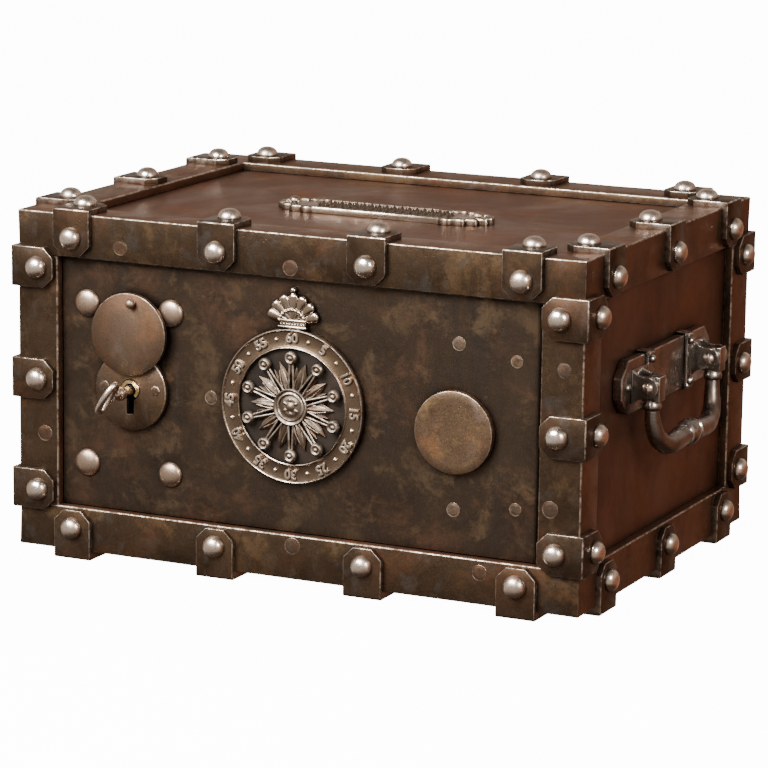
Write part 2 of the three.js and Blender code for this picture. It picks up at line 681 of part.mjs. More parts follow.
function makeBadge() {
  const badge = new THREE.Group();
  const rim = 1.6;
  const band = badgeHeight - 1;
  const dish = turned([[studShank + fitGap, 0], [badgeRadius, 0], [badgeRadius, badgeHeight],
    [badgeRadius - rim, badgeHeight], [badgeRadius - rim, band],
    [badgeInner + rim, band], [badgeInner + rim, badgeHeight], [badgeInner, badgeHeight], [badgeInner, badgeFloor],
    [studShank + fitGap, badgeFloor], [studShank + fitGap, 0]],
  at(badgeX, mountFront, badgeZ), toFront, 32);
  badge.add(piece('badge_dish', dish, castFinish));

  const floor = mountFront - badgeFloor - fitGap;
  const centre = at(badgeX, floor, badgeZ);
  let rosette = turned([[0, -badgeFloor - badgeShankDepth], [studShank, -badgeFloor - badgeShankDepth], [studShank, 0], [hubRadius, 0],
    [hubRadius - 0.4, hubHeight - 0.8], [hubRadius - 1.8, hubHeight], [hubRadius - 3.4, hubHeight - 1.4],
    [hubRadius * 0.4, hubHeight - 0.4], [0, hubHeight]], centre, toFront, 16);
  const step = (2 * Math.PI) / rayCount;
  for (let i = 0; i < rayCount; i++) {
    const turn = i * step;
    rosette = join(rosette, kiteRay(turn, floor), ballStem(turn + step / 2, floor));
  }
  badge.add(piece('badge_rosette', rosette, castFinish));
  badge.add(makeCrest());
  return badge;
}

// A faceted ray of the rosette: widest part of the way out, with a ridge along its middle.
function kiteRay(turn, floor) {
  const widest = rayLength * 0.46;
  const edge = 1.2;
  const ridge = 3.2;
  const outer = [[-rayWidth * 0.3, 0], [-rayWidth / 2, widest], [0, rayLength], [rayWidth / 2, widest], [rayWidth * 0.3, 0]];
  const position = [];
  for (const level of [0, edge]) {
    for (const [across, out] of outer) position.push(across, -level, out);
  }
  position.push(0, -ridge, 0, 0, -ridge, widest);
  const index = [0, 1, 2, 0, 2, 3, 0, 3, 4];
  for (let i = 0; i < 5; i++) {
    const next = (i + 1) % 5;
    index.push(i, i + 5, next + 5, i, next + 5, next);
  }
  index.push(5, 10, 11, 5, 11, 6, 6, 11, 7, 7, 11, 8, 8, 11, 10, 8, 10, 9, 9, 10, 5);
  const geometry = new THREE.BufferGeometry();
  geometry.setAttribute('position', new THREE.Float32BufferAttribute(position, 3));
  geometry.setIndex(index);
  geometry.rotateY(turn);
  geometry.translate(badgeX, floor, badgeZ);
  return solid(geometry);
}

function ballStem(turn, floor) {
  const dir = at(Math.sin(turn), 0, Math.cos(turn));
  const start = at(badgeX, floor - 2, badgeZ);
  const ball = turned([[0, 0.2], [ballRadius * 0.85, 0.2], [ballRadius, ballRadius * 0.7], [ballRadius * 0.6, ballRadius * 1.4],
    [0, ballRadius * 1.6]],
  at(badgeX, floor, badgeZ).addScaledVector(dir, ballCircle), toFront, 6);
  return join(rod(1.5, start, dir, ballCircle, 4), ball);
}

// A shell of fanned lobes on a moulded foot, over the top of the ring, with a ball on top.
function makeCrest() {
  const baseZ = badgeZ + badgeRadius + fitGap;
  const footHeightHere = crestHeight * 0.2;
  const depth = badgeHeight - 0.1;
  const middle = mountFront - depth * 0.6;
  const footHalf = crestWidth * 0.27;
  const mouldings = [[footHalf, 0, 0.45, depth], [footHalf * 0.86, 0.3, 0.75, depth * 0.75], [footHalf * 0.95, 0.7, 1.1, depth]];
  const bars = mouldings.map(([half, low, high, out]) => block(badgeX - half, badgeX + half, mountFront - out, mountFront,
    baseZ + low * footHeightHere, baseZ + high * footHeightHere));
  let crest = join(...bars);
  const finialRadius = crestHeight * 0.08;
  const reach = crestWidth / 2 / Math.sin(crestFan * deg) - crestWidth * 0.02;
  const lobeHalf = crestWidth * 0.105;
  for (let i = 0; i < crestLobes; i++) {
    const turn = ((i / (crestLobes - 1)) * 2 - 1) * crestFan * deg;
    const lobe = new THREE.LatheGeometry([[0, 0], [0.5, 0.18], [0.9, 0.5], [1, 0.72], [0.72, 0.93], [0, 1]].map(
      ([radius, along]) => new THREE.Vector2(radius, along)), 6);
    lobe.rotateX(Math.PI / 2);
    lobe.scale(lobeHalf, depth * 0.4, reach);
    lobe.rotateY(turn);
    lobe.translate(badgeX, middle, baseZ + footHeightHere * 0.7);
    crest = crest.add(solid(lobe));
  }
  const finial = new THREE.SphereGeometry(finialRadius, 8, 5);
  finial.translate(badgeX, middle, baseZ + crestHeight - finialRadius);
  const neck = rod(finialRadius * 0.55, at(badgeX, middle, baseZ + reach), alongZ, crestHeight - reach - finialRadius, 6);
  return piece('badge_crest', join(crest, solid(finial), neck), castFinish);
}

// Name plate: straight long sides, and round ends cut into scallops
function makeNameplate() {
  const plate = new THREE.Group();
  const straight = nameplateLength / 2 - scallopLength;
  const halfWidth = nameplateWidth / 2;
  const stepsPerScallop = 3;
  const points = [];
  for (const side of [1, -1]) {
    const count = scallopCount * stepsPerScallop;
    for (let i = 0; i <= count; i++) {
      const turn = (-0.5 + i / count) * Math.PI;
      const wave = 1 - (scallopDepth / halfWidth) * (1 - Math.abs(Math.sin((i / stepsPerScallop) * Math.PI)));
      points.push([side * (straight + scallopLength * Math.cos(turn) * wave), side * halfWidth * Math.sin(turn) * wave]);
    }
  }
  const seat = panelTop + fitGap;
  const shifted = points.map(([x, y]) => [x + nameplateX, y + nameplateY]);
  const field = [[-1, -1], [1, -1], [1, 1], [-1, 1]].map(([sx, sy]) => [
    nameplateX + sx * (straight + scallopLength * 0.45), nameplateY + sy * (halfWidth - 5.5)]);
  const sunk = 1;
  let body = slab(outline(shifted), alongX, alongY, seat, seat + nameplateThickness);
  body = body.subtract(slab(outline(field), alongX, alongY, seat + nameplateThickness - sunk, seat + nameplateThickness + 1));
  for (const [name, side] of [['nameplate_rivet_left', -1], ['nameplate_rivet_right', 1]]) {
    const place = at(nameplateX + (side * nameplateRivetSpread) / 2, nameplateY, seat);
    body = body.subtract(rod(2 + fitGap, place.clone().add(at(0, 0, -1)), alongZ, nameplateThickness + 2, 10));
    const head = nameplateThickness + fitGap;
    const rivet = turned([[0, 0], [2, 0], [2, head], [nameplateRivet, head], [nameplateRivet * 0.9, head + 1.6],
      [nameplateRivet * 0.5, head + 2.7], [0, head + 3]], place, alongZ, 10);
    plate.add(piece(name, rivet, steelFinish));
  }
  plate.add(piece('nameplate', body, castFinish));
  return plate;
}

// Side handle, drawn with X out from the side plate, Y along it and the pin at height 0.
const footFront = backThickness + 2 * fitGap + footThickness;
const pinOut = footFront + blockStandoff;

function makeBackPlate(name) {
  const half = backLength / 2;
  const tall = backHeight / 2;
  const shape = outline([[-half, -tall + backChamfer], [-half + backChamfer, -tall], [half - backChamfer, -tall],
    [half, -tall + backChamfer], [half, tall - backChamfer], [half - backChamfer, tall],
    [-half + backChamfer, tall], [-half, tall - backChamfer]]);
  let plate = slab(shape, alongY, alongZ, fitGap, fitGap + backThickness);
  for (const side of [-1, 1]) {
    plate = plate.add(dome(backRivet, backRivetRise, at(fitGap + backThickness, side * (half - backChamfer * 0.9), 0), alongX, 8));
  }
  return piece(name, plate, castFinish);
}

// A forked bracket: a foot, two waisted ears with the pin's hole, and a tab with two small studs that
// crosses the plate and laps over its edges.
function makeBracket(name, side) {
  const armY = (side * armSpread) / 2;
  const inward = -side;
  const footBack = backThickness + 2 * fitGap;
  const earOuter = blockThickness / 2 + earGap + earThickness;
  const foot = footHeight / 2;
  const tall = backHeight / 2;
  const spanY = (a, b) => [Math.min(armY + inward * a, armY + inward * b), Math.max(armY + inward * a, armY + inward * b)];
  const [footA, footB] = spanY(-earOuter, tabInset);
  const [tabA, tabB] = spanY(tabInset - tabWidth / 2, tabInset + tabWidth / 2);
  const hookTop = tall + fitGap + tabHook;
  let bracket = join(
    block(footBack, footFront, footA, footB, -foot, foot),
    block(footBack, footBack + tabThickness, tabA, tabB, -hookTop, hookTop),
    block(fitGap, footBack + weld, tabA, tabB, tall + fitGap, hookTop),
    block(fitGap, footBack + weld, tabA, tabB, -hookTop, -tall - fitGap),
  );
  const ear = new THREE.Shape();
  const waist = footBack + (pinOut - footBack) * 0.35;
  ear.moveTo(footBack, -foot);
  ear.quadraticCurveTo(waist, -earRadius, pinOut, -earRadius);
  ear.absarc(pinOut, 0, earRadius, -Math.PI / 2, Math.PI / 2, false);
  ear.quadraticCurveTo(waist, earRadius, footBack, foot);
  for (const way of [-1, 1]) {
    const from = armY + way * (blockThickness / 2 + earGap);
    const to = from + way * earThickness;
    const low = Math.min(from, to);
    bracket = bracket.add(slab(ear, alongX, alongZ, -low - earThickness, -low, 6));
  }
  bracket = bracket.subtract(rod(handlePinRadius + fitGap, at(pinOut, armY - earOuter - 1, 0), alongY, 2 * earOuter + 2, 10));
  for (const level of [-1, 1]) {
    const stud = at(footBack + tabThickness, armY + inward * tabInset, level * (tall - tabStudInset));
    bracket = bracket.add(dome(backRivet, tabStudRise, stud, alongX, 8));
  }
  return piece(name, bracket, castFinish);
}

function makePin(name, side) {
  const armY = (side * armSpread) / 2;
  const earOuter = blockThickness / 2 + earGap + earThickness + fitGap;
  const head = handlePinRadius * 1.35;
  const profile = [[0, -pinHeadRise], [head * 0.7, -pinHeadRise * 0.75], [head, 0], [handlePinRadius, 0],
    [handlePinRadius, 2 * earOuter], [head, 2 * earOuter], [head * 0.7, 2 * earOuter + pinHeadRise * 0.75],
    [0, 2 * earOuter + pinHeadRise]];
  return piece(name, turned(profile, at(pinOut, armY - earOuter, 0), alongY, 10), steelFinish);
}

// The bail: two blocks on the pins, a collar under each, and a bar that swells towards its bead. The
// blocks are round towards the plate, so the bail swings up until their outer corner meets the foot.
function makeBail(name) {
  const arm = armSpread / 2;
  const shoulder = -blockDown - collarLength * 0.7;
  const low = -bailDrop - bailSag;
  const grip = pinOut + bailBow;
  const half = [[pinOut, -arm, shoulder], [pinOut + bailBow * 0.1, -arm + cornerIn * 0.09, low * 0.58],
    [pinOut + bailBow * 0.45, -arm + cornerIn * 0.36, low * 0.83], [pinOut + bailBow * 0.8, -arm + cornerIn, low * 0.98],
    [grip, -arm / 2, low]];
  const mirrored = half.map(([x, y, z]) => [x, -y, z]).reverse();
  const path = [...half, [grip, 0, -bailDrop], ...mirrored].map(([x, y, z]) => at(x, y, z));
  const swell = (t) => bailNeck + (bailGrip - bailNeck) * Math.sin(Math.PI * t) ** 0.8;
  let bail = sweptBar(new THREE.CatmullRomCurve3(path), swell, 20, 8);
  const ring = (bailGrip + beadRadius) / 2 + 0.2;
  const ringEnd = beadHalf - beadRing;
  const bead = turned([[0, -beadHalf], [ring, -beadHalf * 0.95], [ring, -ringEnd], [bailGrip, -ringEnd * 0.85],
    [beadRadius * 0.92, -ringEnd * 0.55], [beadRadius, 0], [beadRadius * 0.92, ringEnd * 0.55], [bailGrip, ringEnd * 0.85],
    [ring, ringEnd], [ring, beadHalf * 0.95], [0, beadHalf]], at(grip, 0, -bailDrop), alongY, 10);
  bail = bail.add(bead);
  for (const side of [-1, 1]) {
    const y = side * arm;
    const near = y - blockThickness / 2;
    const collar = turned([[0, 0], [bailNeck * 1.1, 0], [bailCollar * 0.9, collarLength * 0.2], [bailCollar, collarLength * 0.55],
      [bailCollar * 0.9, collarLength + weld], [0, collarLength + weld]], at(pinOut, y, -blockDown - collarLength), alongZ, 8);
    bail = join(bail, collar,
      rod(blockUp, at(pinOut, near, 0), alongY, blockThickness, 16),
      block(pinOut, pinOut + blockOut, near, near + blockThickness, -blockDown, blockUp),
      block(pinOut - blockIn, pinOut + blockOut, near, near + blockThickness, -blockDown, 0));
    bail = bail.subtract(rod(handlePinRadius + runningGap, at(pinOut, near - 1, 0), alongY, blockThickness + 2, 10));
  }
  return piece(name, bail, castFinish);
}

function makeHandle(side, turn) {
  const handle = new THREE.Group();
  handle.add(makeBackPlate(`${side}_handle_plate`), makeBail(`${side}_handle_bail`));
  for (const [where, way] of [['front', -1], ['rear', 1]]) {
    const facing = turn === 0 ? way : -way;
    handle.add(makeBracket(`${side}_handle_bracket_${where}`, facing), makePin(`${side}_handle_pin_${where}`, facing));
  }
  handle.rotation.z = turn;
  handle.position.set(panelX * Math.cos(turn), handleY, handleZ);
  return handle;
}

// The whole box: lifted so that it stands on its bottom clips, and moved so that the middle of its
// depth, from the key's bow to the rivets on the back, lies at the origin.
const strongbox = new THREE.Group();
strongbox.add(makeIrons(), makeCarcass(), makeDoor(), makeStuds(), makeLockCase(), makeBolt(),
  makeEscutcheon(), makeBush(), makeKey(), makeCover(), makeBlindDisc(), makeBadge(), makeNameplate(),
  makeHandle('right', 0), makeHandle('left', Math.PI));
const frontReach = -escutcheonFront + bowOut + bowHalfWidth + bowWire;
const backReach = halfY + clipThickness + rivetHeight;
strongbox.position.set(0, (frontReach - backReach) / 2, clipThickness);

const model = new THREE.Group();
model.add(strongbox);

export default model;
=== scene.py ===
# %% [markdown]
# # A riveted iron strongbox
# The real box is a carcass of iron plates held in a frame of angle irons. Short straps are bent over the
# irons and a domed rivet holds each leg of a strap that shows. The front is a door that hangs on its right
# edge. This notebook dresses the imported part: the flat plates and the works inside keep their own mesh
# and get a finish, and everything with a soft edge or a round head is built again as a finer piece.

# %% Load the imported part
import itertools
import math

import bmesh
import bpy
from mathutils import Matrix, Vector, noise


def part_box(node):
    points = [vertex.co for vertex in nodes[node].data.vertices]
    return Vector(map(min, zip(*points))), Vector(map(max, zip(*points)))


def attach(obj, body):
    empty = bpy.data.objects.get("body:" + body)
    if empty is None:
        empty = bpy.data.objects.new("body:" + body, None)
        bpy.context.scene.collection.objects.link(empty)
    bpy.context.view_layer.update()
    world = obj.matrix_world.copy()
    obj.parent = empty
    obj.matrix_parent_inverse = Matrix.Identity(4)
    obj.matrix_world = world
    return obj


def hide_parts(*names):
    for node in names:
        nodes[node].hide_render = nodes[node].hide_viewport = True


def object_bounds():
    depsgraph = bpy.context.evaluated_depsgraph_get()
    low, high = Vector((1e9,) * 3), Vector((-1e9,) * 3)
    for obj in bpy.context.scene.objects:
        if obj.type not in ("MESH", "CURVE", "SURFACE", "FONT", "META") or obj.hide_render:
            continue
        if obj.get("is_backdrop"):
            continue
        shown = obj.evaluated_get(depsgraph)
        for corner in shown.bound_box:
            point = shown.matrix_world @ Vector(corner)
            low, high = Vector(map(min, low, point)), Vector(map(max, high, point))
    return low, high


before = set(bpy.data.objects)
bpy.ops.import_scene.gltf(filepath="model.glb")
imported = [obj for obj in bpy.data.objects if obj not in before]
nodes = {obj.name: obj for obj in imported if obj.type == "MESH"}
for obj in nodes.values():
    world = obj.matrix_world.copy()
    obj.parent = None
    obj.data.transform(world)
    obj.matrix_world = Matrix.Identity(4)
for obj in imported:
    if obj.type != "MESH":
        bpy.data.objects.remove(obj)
cad_low, cad_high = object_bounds()
print(f"{len(nodes)} nodes, box {[round(v, 4) for v in cad_high - cad_low]} m")

# %% [markdown]
# ## One drawing space
# A smith thinks in millimetres from the middle of the box and up from the underside of the irons. The
# pieces are drawn that way, and one matrix then puts every finished mesh into the part's own metres.
# The box was shifted a little when it was packed, and the plates say by how much.

# %% Millimetres from the middle of the iron frame
MM = 0.001
WIDTH = 420.0
DEPTH = 305.0
HEIGHT = 235.0
FLANGE = 30.0
IRON = 6.0
GAP = 0.3
left_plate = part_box("left_plate")
bottom_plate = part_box("bottom_plate")
mid_depth = (left_plate[0].y + left_plate[1].y) / 2
iron_foot = bottom_plate[0].z - (IRON + GAP) * MM
to_frame = Matrix.Translation((0, mid_depth, iron_foot)) @ Matrix.Scale(MM, 4)
print(f"middle of the depth at {mid_depth:.4f} m, irons stand at {iron_foot:.4f} m")


def level(node, axis, end):
    """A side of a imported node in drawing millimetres: axis 0 to 2, end 0 for the low side, 1 for the high."""
    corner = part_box(node)[end]
    return (to_frame.inverted() @ corner)[axis]


def middle_of(node):
    """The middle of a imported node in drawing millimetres."""
    low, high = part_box(node)
    return to_frame.inverted() @ ((low + high) / 2)


# %% [markdown]
# ## The camera
# The photograph was taken with a long lens from the right and a little above: the uprights hardly
# converge. The place and the three angles below were fitted to the corners of the iron frame. A camera
# can also be aimed with a constraint at an empty, but three plain angles are easier to fit and to read.

# %% Set up the camera
CAMERA_PLACE = (1087.5, -2316.5, 641.8)
CAMERA_AZIMUTH = math.radians(25.22)
CAMERA_ELEVATION = math.radians(11.825)
CAMERA_ROLL = math.radians(-0.78)
LENS = 173.7
SENSOR = 36.0

back = Vector((
    math.sin(CAMERA_AZIMUTH) * math.cos(CAMERA_ELEVATION),
    -math.cos(CAMERA_AZIMUTH) * math.cos(CAMERA_ELEVATION),
    math.sin(CAMERA_ELEVATION),
))
level_right = Vector((math.cos(CAMERA_AZIMUTH), math.sin(CAMERA_AZIMUTH), 0))
level_down = (-back).cross(level_right)
right = math.cos(CAMERA_ROLL) * level_right + math.sin(CAMERA_ROLL) * level_down
up = math.sin(CAMERA_ROLL) * level_right - math.cos(CAMERA_ROLL) * level_down


def show(name, data):
    """A new object in the scene."""
    made = bpy.data.objects.new(name, data)
    bpy.context.scene.collection.objects.link(made)
    return made


camera_data = bpy.data.cameras.new("camera")
camera_data.lens = LENS
camera_data.sensor_width = SENSOR
camera_data.clip_start = 0.1
camera_data.clip_end = 50
camera = show("camera", camera_data)
aim = Matrix((right, up, back)).transposed().to_4x4()
camera.matrix_world = Matrix.Translation(to_frame @ Vector(CAMERA_PLACE)) @ aim
bpy.context.scene.camera = camera
print(f"camera {camera.location.length:.2f} m from the origin, lens {LENS} mm")

# %% [markdown]
# ## Shader helpers
# A worn metal skin is a stack of simple patterns. Adding a node and filling or linking its sockets by
# name, in one call, keeps that stack readable.

# %% Small helpers for shader nodes


def add(tree, kind, values=None, **settings):
    """A new node. A value that is a socket gets linked, and any other is set on the input."""
    made = tree.nodes.new(kind)
    for name, setting in settings.items():
        setattr(made, name, setting)
    for name, value in (values or {}).items():
        socket = made.inputs[name]
        if isinstance(value, bpy.types.NodeSocket):
            tree.links.new(value, socket)
        else:
            socket.default_value = value
    return made


def rgb(red, green, blue):
    return (red, green, blue, 1.0)


def mix(tree, factor, first, second, how="MIX"):
    """Mixes two colours and returns the colour socket."""
    made = add(tree, "ShaderNodeMix", {0: factor, 6: first, 7: second}, data_type="RGBA", blend_type=how)
    return made.outputs[2]


def maths(tree, how, first, second=0.0, clamp=False):
    made = add(tree, "ShaderNodeMath", {0: first, 1: second}, operation=how, use_clamp=clamp)
    return made.outputs[0]


def fade(tree, value, low, high, to_low=0.0, to_high=1.0, how="SMOOTHSTEP"):
    """Takes a value from low to high smoothly to to_low and to_high."""
    values = {"Value": value, "From Min": low, "From Max": high, "To Min": to_low, "To Max": to_high}
    return add(tree, "ShaderNodeMapRange", values, interpolation_type=how).outputs[0]


def clouds(tree, place, scale, detail=5.0, rough=0.6, distortion=0.0):
    values = {"Vector": place, "Scale": scale, "Detail": detail, "Roughness": rough, "Distortion": distortion}
    return add(tree, "ShaderNodeTexNoise", values).outputs["Fac"]


def moved(tree, place, offset, stretch=(1, 1, 1)):
    """The same pattern space, shifted so that two noises don't line up, or stretched into streaks."""
    return add(tree, "ShaderNodeMapping", {"Vector": place, "Location": offset, "Scale": stretch}).outputs[0]


def lighten(tree, colour, value, low, high, share):
    """Makes a colour darker by a share where the value is low, and lighter where it is high."""
    factor = fade(tree, value, low, high, 1 - share, 1 + share, "LINEAR")
    return mix(tree, 1.0, colour, factor, "MULTIPLY")


# %% [markdown]
# ## Old iron
# Every surface of the box is bare iron that has been waxed and handled for a long time. What the eye
# reads as old iron is: a brown-grey ground in soft clouds, ochre and rust blotches, small pits, painted shade
# in the corners, and bright metal where hands and cloths rub the edges, with a painted highlight on the edges
# that face up or to the right. It could be painted on unwrapped meshes. Noise in Object coordinates needs no
# unwrapping and runs on from one piece to the next. Each mesh marks the narrow faces that round its edges
# in an attribute, and on the flat plates the Bevel node finds the edge. The painted shade comes from Ambient
# Occlusion. One function builds the stack, and each finish is a set of amounts. The irons also have a painted
# warm light: a redder brown, in uneven patches, on what faces up or to the right.

# %% The worn metal finish


def worn_metal(
    name,
    dark,
    light,
    bare,
    rust=(0.22, 0.075, 0.028),
    ochre=(0.27, 0.17, 0.075),
    slate=(0.12, 0.115, 0.115),
    rust_share=0.3,
    ochre_share=0.3,
    slate_share=0.3,
    cloud_scale=22.0,
    shine=0.42,
    wear=0.6,
    wear_width=0.8,
    painted_shade=0.5,
    painted_shade_reach=4.0,
    pitting=0.5,
    waves=0.25,
    metal=0.9,
    brushed=0.0,
    streaks=(1, 1, 0.12),
    stains=1.0,
    drift=(1, 1, 1),
    painted_shade_range=(0.15, 0.85),
    painted_warm_light=None,
):
    material = bpy.data.materials.new(name)
    material.use_nodes = True
    tree = material.node_tree
    shader = tree.nodes["Principled BSDF"]
    place = add(tree, "ShaderNodeTexCoord").outputs["Object"]
    second = moved(tree, place, (3.1, 1.7, 0.4), drift)
    third = moved(tree, place, (0.9, 5.3, 2.6), drift)
    lines = clouds(tree, moved(tree, place, (0, 0, 0), streaks), 900, 3, 0.6)

    # The ground: two browns in soft clouds, blue-grey where the iron was scoured, and a fine speckle.
    broad = fade(tree, clouds(tree, place, cloud_scale, 6, 0.62, 0.6), 0.32, 0.68)
    colour = mix(tree, broad, rgb(*dark), rgb(*light))
    streaky = clouds(tree, moved(tree, place, (7.7, 0.2, 3.3), streaks), 95, 5, 0.6, 0.4)
    scoured = fade(tree, streaky, 0.5, 0.72)
    colour = mix(tree, maths(tree, "MULTIPLY", scoured, slate_share), colour, rgb(*slate))
    normal = add(tree, "ShaderNodeNewGeometry").outputs["Normal"]
    to_right, _, to_sky = add(tree, "ShaderNodeSeparateXYZ", {0: normal}).outputs
    # A painted warm light: a redder brown on faces that look up or to the right.
    if painted_warm_light:
        flank = maths(tree, "MULTIPLY", to_right, 0.9)
        warm_light_share = fade(tree, maths(tree, "MAXIMUM", to_sky, flank), 0.7, 0.9, 0.0, 0.9)
        uneven = clouds(tree, moved(tree, place, (2.2, 4.1, 6.6)), 28, 7, 0.68, 0.5)
        warm_light_share = maths(tree, "MULTIPLY", warm_light_share, fade(tree, uneven, 0.36, 0.6, 0.5, 1.0))
        colour = mix(tree, warm_light_share, colour, rgb(*painted_warm_light))
    speckle = clouds(tree, second, 1400, 3, 0.7)
    colour = lighten(tree, colour, speckle, 0.25, 0.75, 0.32)

    # Ochre and rust blotches, each broken up by a finer noise.
    broken = clouds(tree, third, 260, 4, 0.75)
    ochre_spots = clouds(tree, second, 26 * stains, 7, 0.68, 0.4)
    ochre_spots = maths(tree, "ADD", ochre_spots, maths(tree, "MULTIPLY", broken, 0.22))
    ochre_mask = maths(tree, "MULTIPLY", fade(tree, ochre_spots, 0.61, 0.78), ochre_share, clamp=True)
    colour = mix(tree, ochre_mask, colour, rgb(*ochre))
    rust_spots = clouds(tree, third, 17 * stains, 8, 0.66, 0.5)
    rust_spots = maths(tree, "ADD", rust_spots, maths(tree, "MULTIPLY", broken, 0.24))
    rust_mask = maths(tree, "MULTIPLY", fade(tree, rust_spots, 0.6, 0.8), rust_share, clamp=True)
    colour = mix(tree, rust_mask, colour, rgb(*rust))

    # Pits: the middles of fine cells, only where a broad noise lets them through.
    cells = add(tree, "ShaderNodeTexVoronoi", {"Vector": place, "Scale": 330.0, "Randomness": 1.0}).outputs
    pit = fade(tree, cells["Distance"], 0.06, 0.24, 1.0, 0.0)
    where = fade(tree, clouds(tree, second, 48, 3, 0.5), 0.5, 0.66)
    pit = maths(tree, "MULTIPLY", maths(tree, "MULTIPLY", pit, where), pitting, clamp=True)
    sunk = rgb(dark[0] * 0.35, dark[1] * 0.32, dark[2] * 0.3)
    colour = mix(tree, maths(tree, "MULTIPLY", pit, 0.7), colour, sunk)

    # Painted shade in the corners from Ambient Occlusion, then bare metal along the edges.
    open_sky = add(tree, "ShaderNodeAmbientOcclusion", {"Distance": painted_shade_reach * MM}, samples=6).outputs["AO"]
    shade = fade(tree, open_sky, *painted_shade_range, 1 - painted_shade, 1.0)
    colour = mix(tree, 1.0, colour, shade, "MULTIPLY")
    rounded = add(tree, "ShaderNodeBevel", {"Radius": wear_width * MM}, samples=8).outputs[0]
    bend = add(tree, "ShaderNodeVectorMath", {0: rounded, 1: normal}, operation="DOT_PRODUCT")
    edge = fade(tree, bend.outputs["Value"], 0.985, 0.86, 0.0, 1.0)
    wear_and_highlight = fade(tree, clouds(tree, second, 210, 6, 0.75), 0.4, 0.6, 0.08, 1.0)
    # A painted highlight: edges that face up or to the right are brighter than the rest.
    wear_and_highlight = maths(tree, "MULTIPLY", wear_and_highlight, fade(tree, to_sky, -0.4, 0.35, 0.12, 1.0))
    wear_and_highlight = maths(tree, "MULTIPLY", wear_and_highlight, fade(tree, to_right, -0.75, 0.3, 0.3, 1.0))
    marked = add(tree, "ShaderNodeAttribute", attribute_type="GEOMETRY", attribute_name="wear_and_highlight")
    edge = maths(tree, "MAXIMUM", maths(tree, "MULTIPLY", edge, 0.6), marked.outputs["Fac"])
    edge = maths(tree, "MULTIPLY", maths(tree, "MULTIPLY", edge, wear_and_highlight), wear, clamp=True)
    colour = mix(tree, edge, colour, rgb(*bare))

    # Fine brushing: the streaked noise makes the ground a little lighter and darker.
    if brushed:
        colour = lighten(tree, colour, lines, 0.3, 0.7, brushed)

    # Roughness follows the same masks: rust and pits are dull, rubbed edges are bright.
    rough = fade(tree, broad, 0, 1, shine + 0.1, shine - 0.04)
    rough = maths(tree, "ADD", rough, maths(tree, "MULTIPLY", rust_mask, 0.22))
    rough = maths(tree, "ADD", rough, maths(tree, "MULTIPLY", pit, 0.3))
    rough = maths(tree, "ADD", rough, maths(tree, "MULTIPLY", maths(tree, "SUBTRACT", speckle, 0.5), 0.3))
    rough = maths(tree, "SUBTRACT", rough, maths(tree, "MULTIPLY", edge, 0.1), clamp=True)

    # Relief: slow waves of the hammered plate, a fine tooth, and the pits sunk in.
    height = maths(tree, "MULTIPLY", clouds(tree, third, 55, 3, 0.5), waves)
    height = maths(tree, "ADD", height, maths(tree, "MULTIPLY", clouds(tree, place, 620, 4, 0.7), 0.1))
    height = maths(tree, "ADD", height, maths(tree, "MULTIPLY", lines, brushed * 0.5))
    height = maths(tree, "SUBTRACT", height, maths(tree, "MULTIPLY", pit, 0.2))
    bump = add(tree, "ShaderNodeBump", {"Height": height, "Distance": 0.0012, "Strength": 0.55}).outputs[0]

    tree.links.new(colour, shader.inputs["Base Color"])
    tree.links.new(rough, shader.inputs["Roughness"])
    tree.links.new(bump, shader.inputs["Normal"])
    shader.inputs["Metallic"].default_value = metal
    return material


# %% [markdown]
# The finishes differ in colour and in amounts. Three colours come first: the two browns of the ground and
# the bare metal of the rubbed edges. A `share` says how much of a stain gets through, a `scale` how small
# the clouds are, and `shine` is the roughness of the clean ground. The amount of painted shade says how dark
# the corners get.

# %% The finishes of the box
iron_skin = worn_metal(
    "old_iron", (0.033, 0.0205, 0.012), (0.078, 0.051, 0.032), (0.66, 0.57, 0.48),
    rust=(0.1, 0.042, 0.02), ochre=(0.155, 0.098, 0.05), slate=(0.085, 0.077, 0.073), rust_share=0.45,
    ochre_share=0.5, slate_share=0.5, cloud_scale=34.0, shine=0.36, wear=0.75, wear_width=0.4,
    pitting=0.9, waves=0.22, brushed=0.12, streaks=(1, 1, 0.7), painted_warm_light=(0.165, 0.076, 0.044),
)
strap_skin = worn_metal(
    "strap_iron", (0.034, 0.021, 0.0125), (0.085, 0.056, 0.037), (0.78, 0.69, 0.6),
    rust=(0.1, 0.042, 0.02), ochre=(0.15, 0.095, 0.05), slate=(0.095, 0.084, 0.078), rust_share=0.45,
    ochre_share=0.3, slate_share=0.5, cloud_scale=45.0, shine=0.34, wear=0.95, wear_width=0.4,
    pitting=0.7, waves=0.22, brushed=0.12, streaks=(1, 1, 0.7),
)
# The door's painted shade is strong and reaches far: a painted shadow under the irons of the frame.
door_skin = worn_metal(
    "door_iron", (0.03, 0.0205, 0.0145), (0.068, 0.048, 0.0345), (0.3, 0.25, 0.2),
    rust=(0.105, 0.05, 0.027), ochre=(0.155, 0.105, 0.06), slate=(0.037, 0.032, 0.028), rust_share=0.42,
    ochre_share=0.44, slate_share=0.5, cloud_scale=19.0, shine=0.38, wear=0.3, painted_shade=0.92, painted_shade_reach=13.0,
    waves=0.3, brushed=0.07, drift=(0.95, 1, 1.05), stains=1.3, painted_shade_range=(0.3, 0.95),
)
# The plates' painted shade reaches far: a painted shadow along the irons round them.
plate_skin = worn_metal(
    "plate_iron", (0.088, 0.039, 0.023), (0.135, 0.066, 0.042), (0.4, 0.3, 0.24),
    rust=(0.2, 0.066, 0.028), slate=(0.14, 0.1, 0.08), rust_share=0.5, ochre_share=0.1, slate_share=0.2,
    cloud_scale=10.0, shine=0.39, wear=0.4, painted_shade=0.8, painted_shade_reach=22.0, painted_shade_range=(0.3, 0.95), waves=0.22,
)
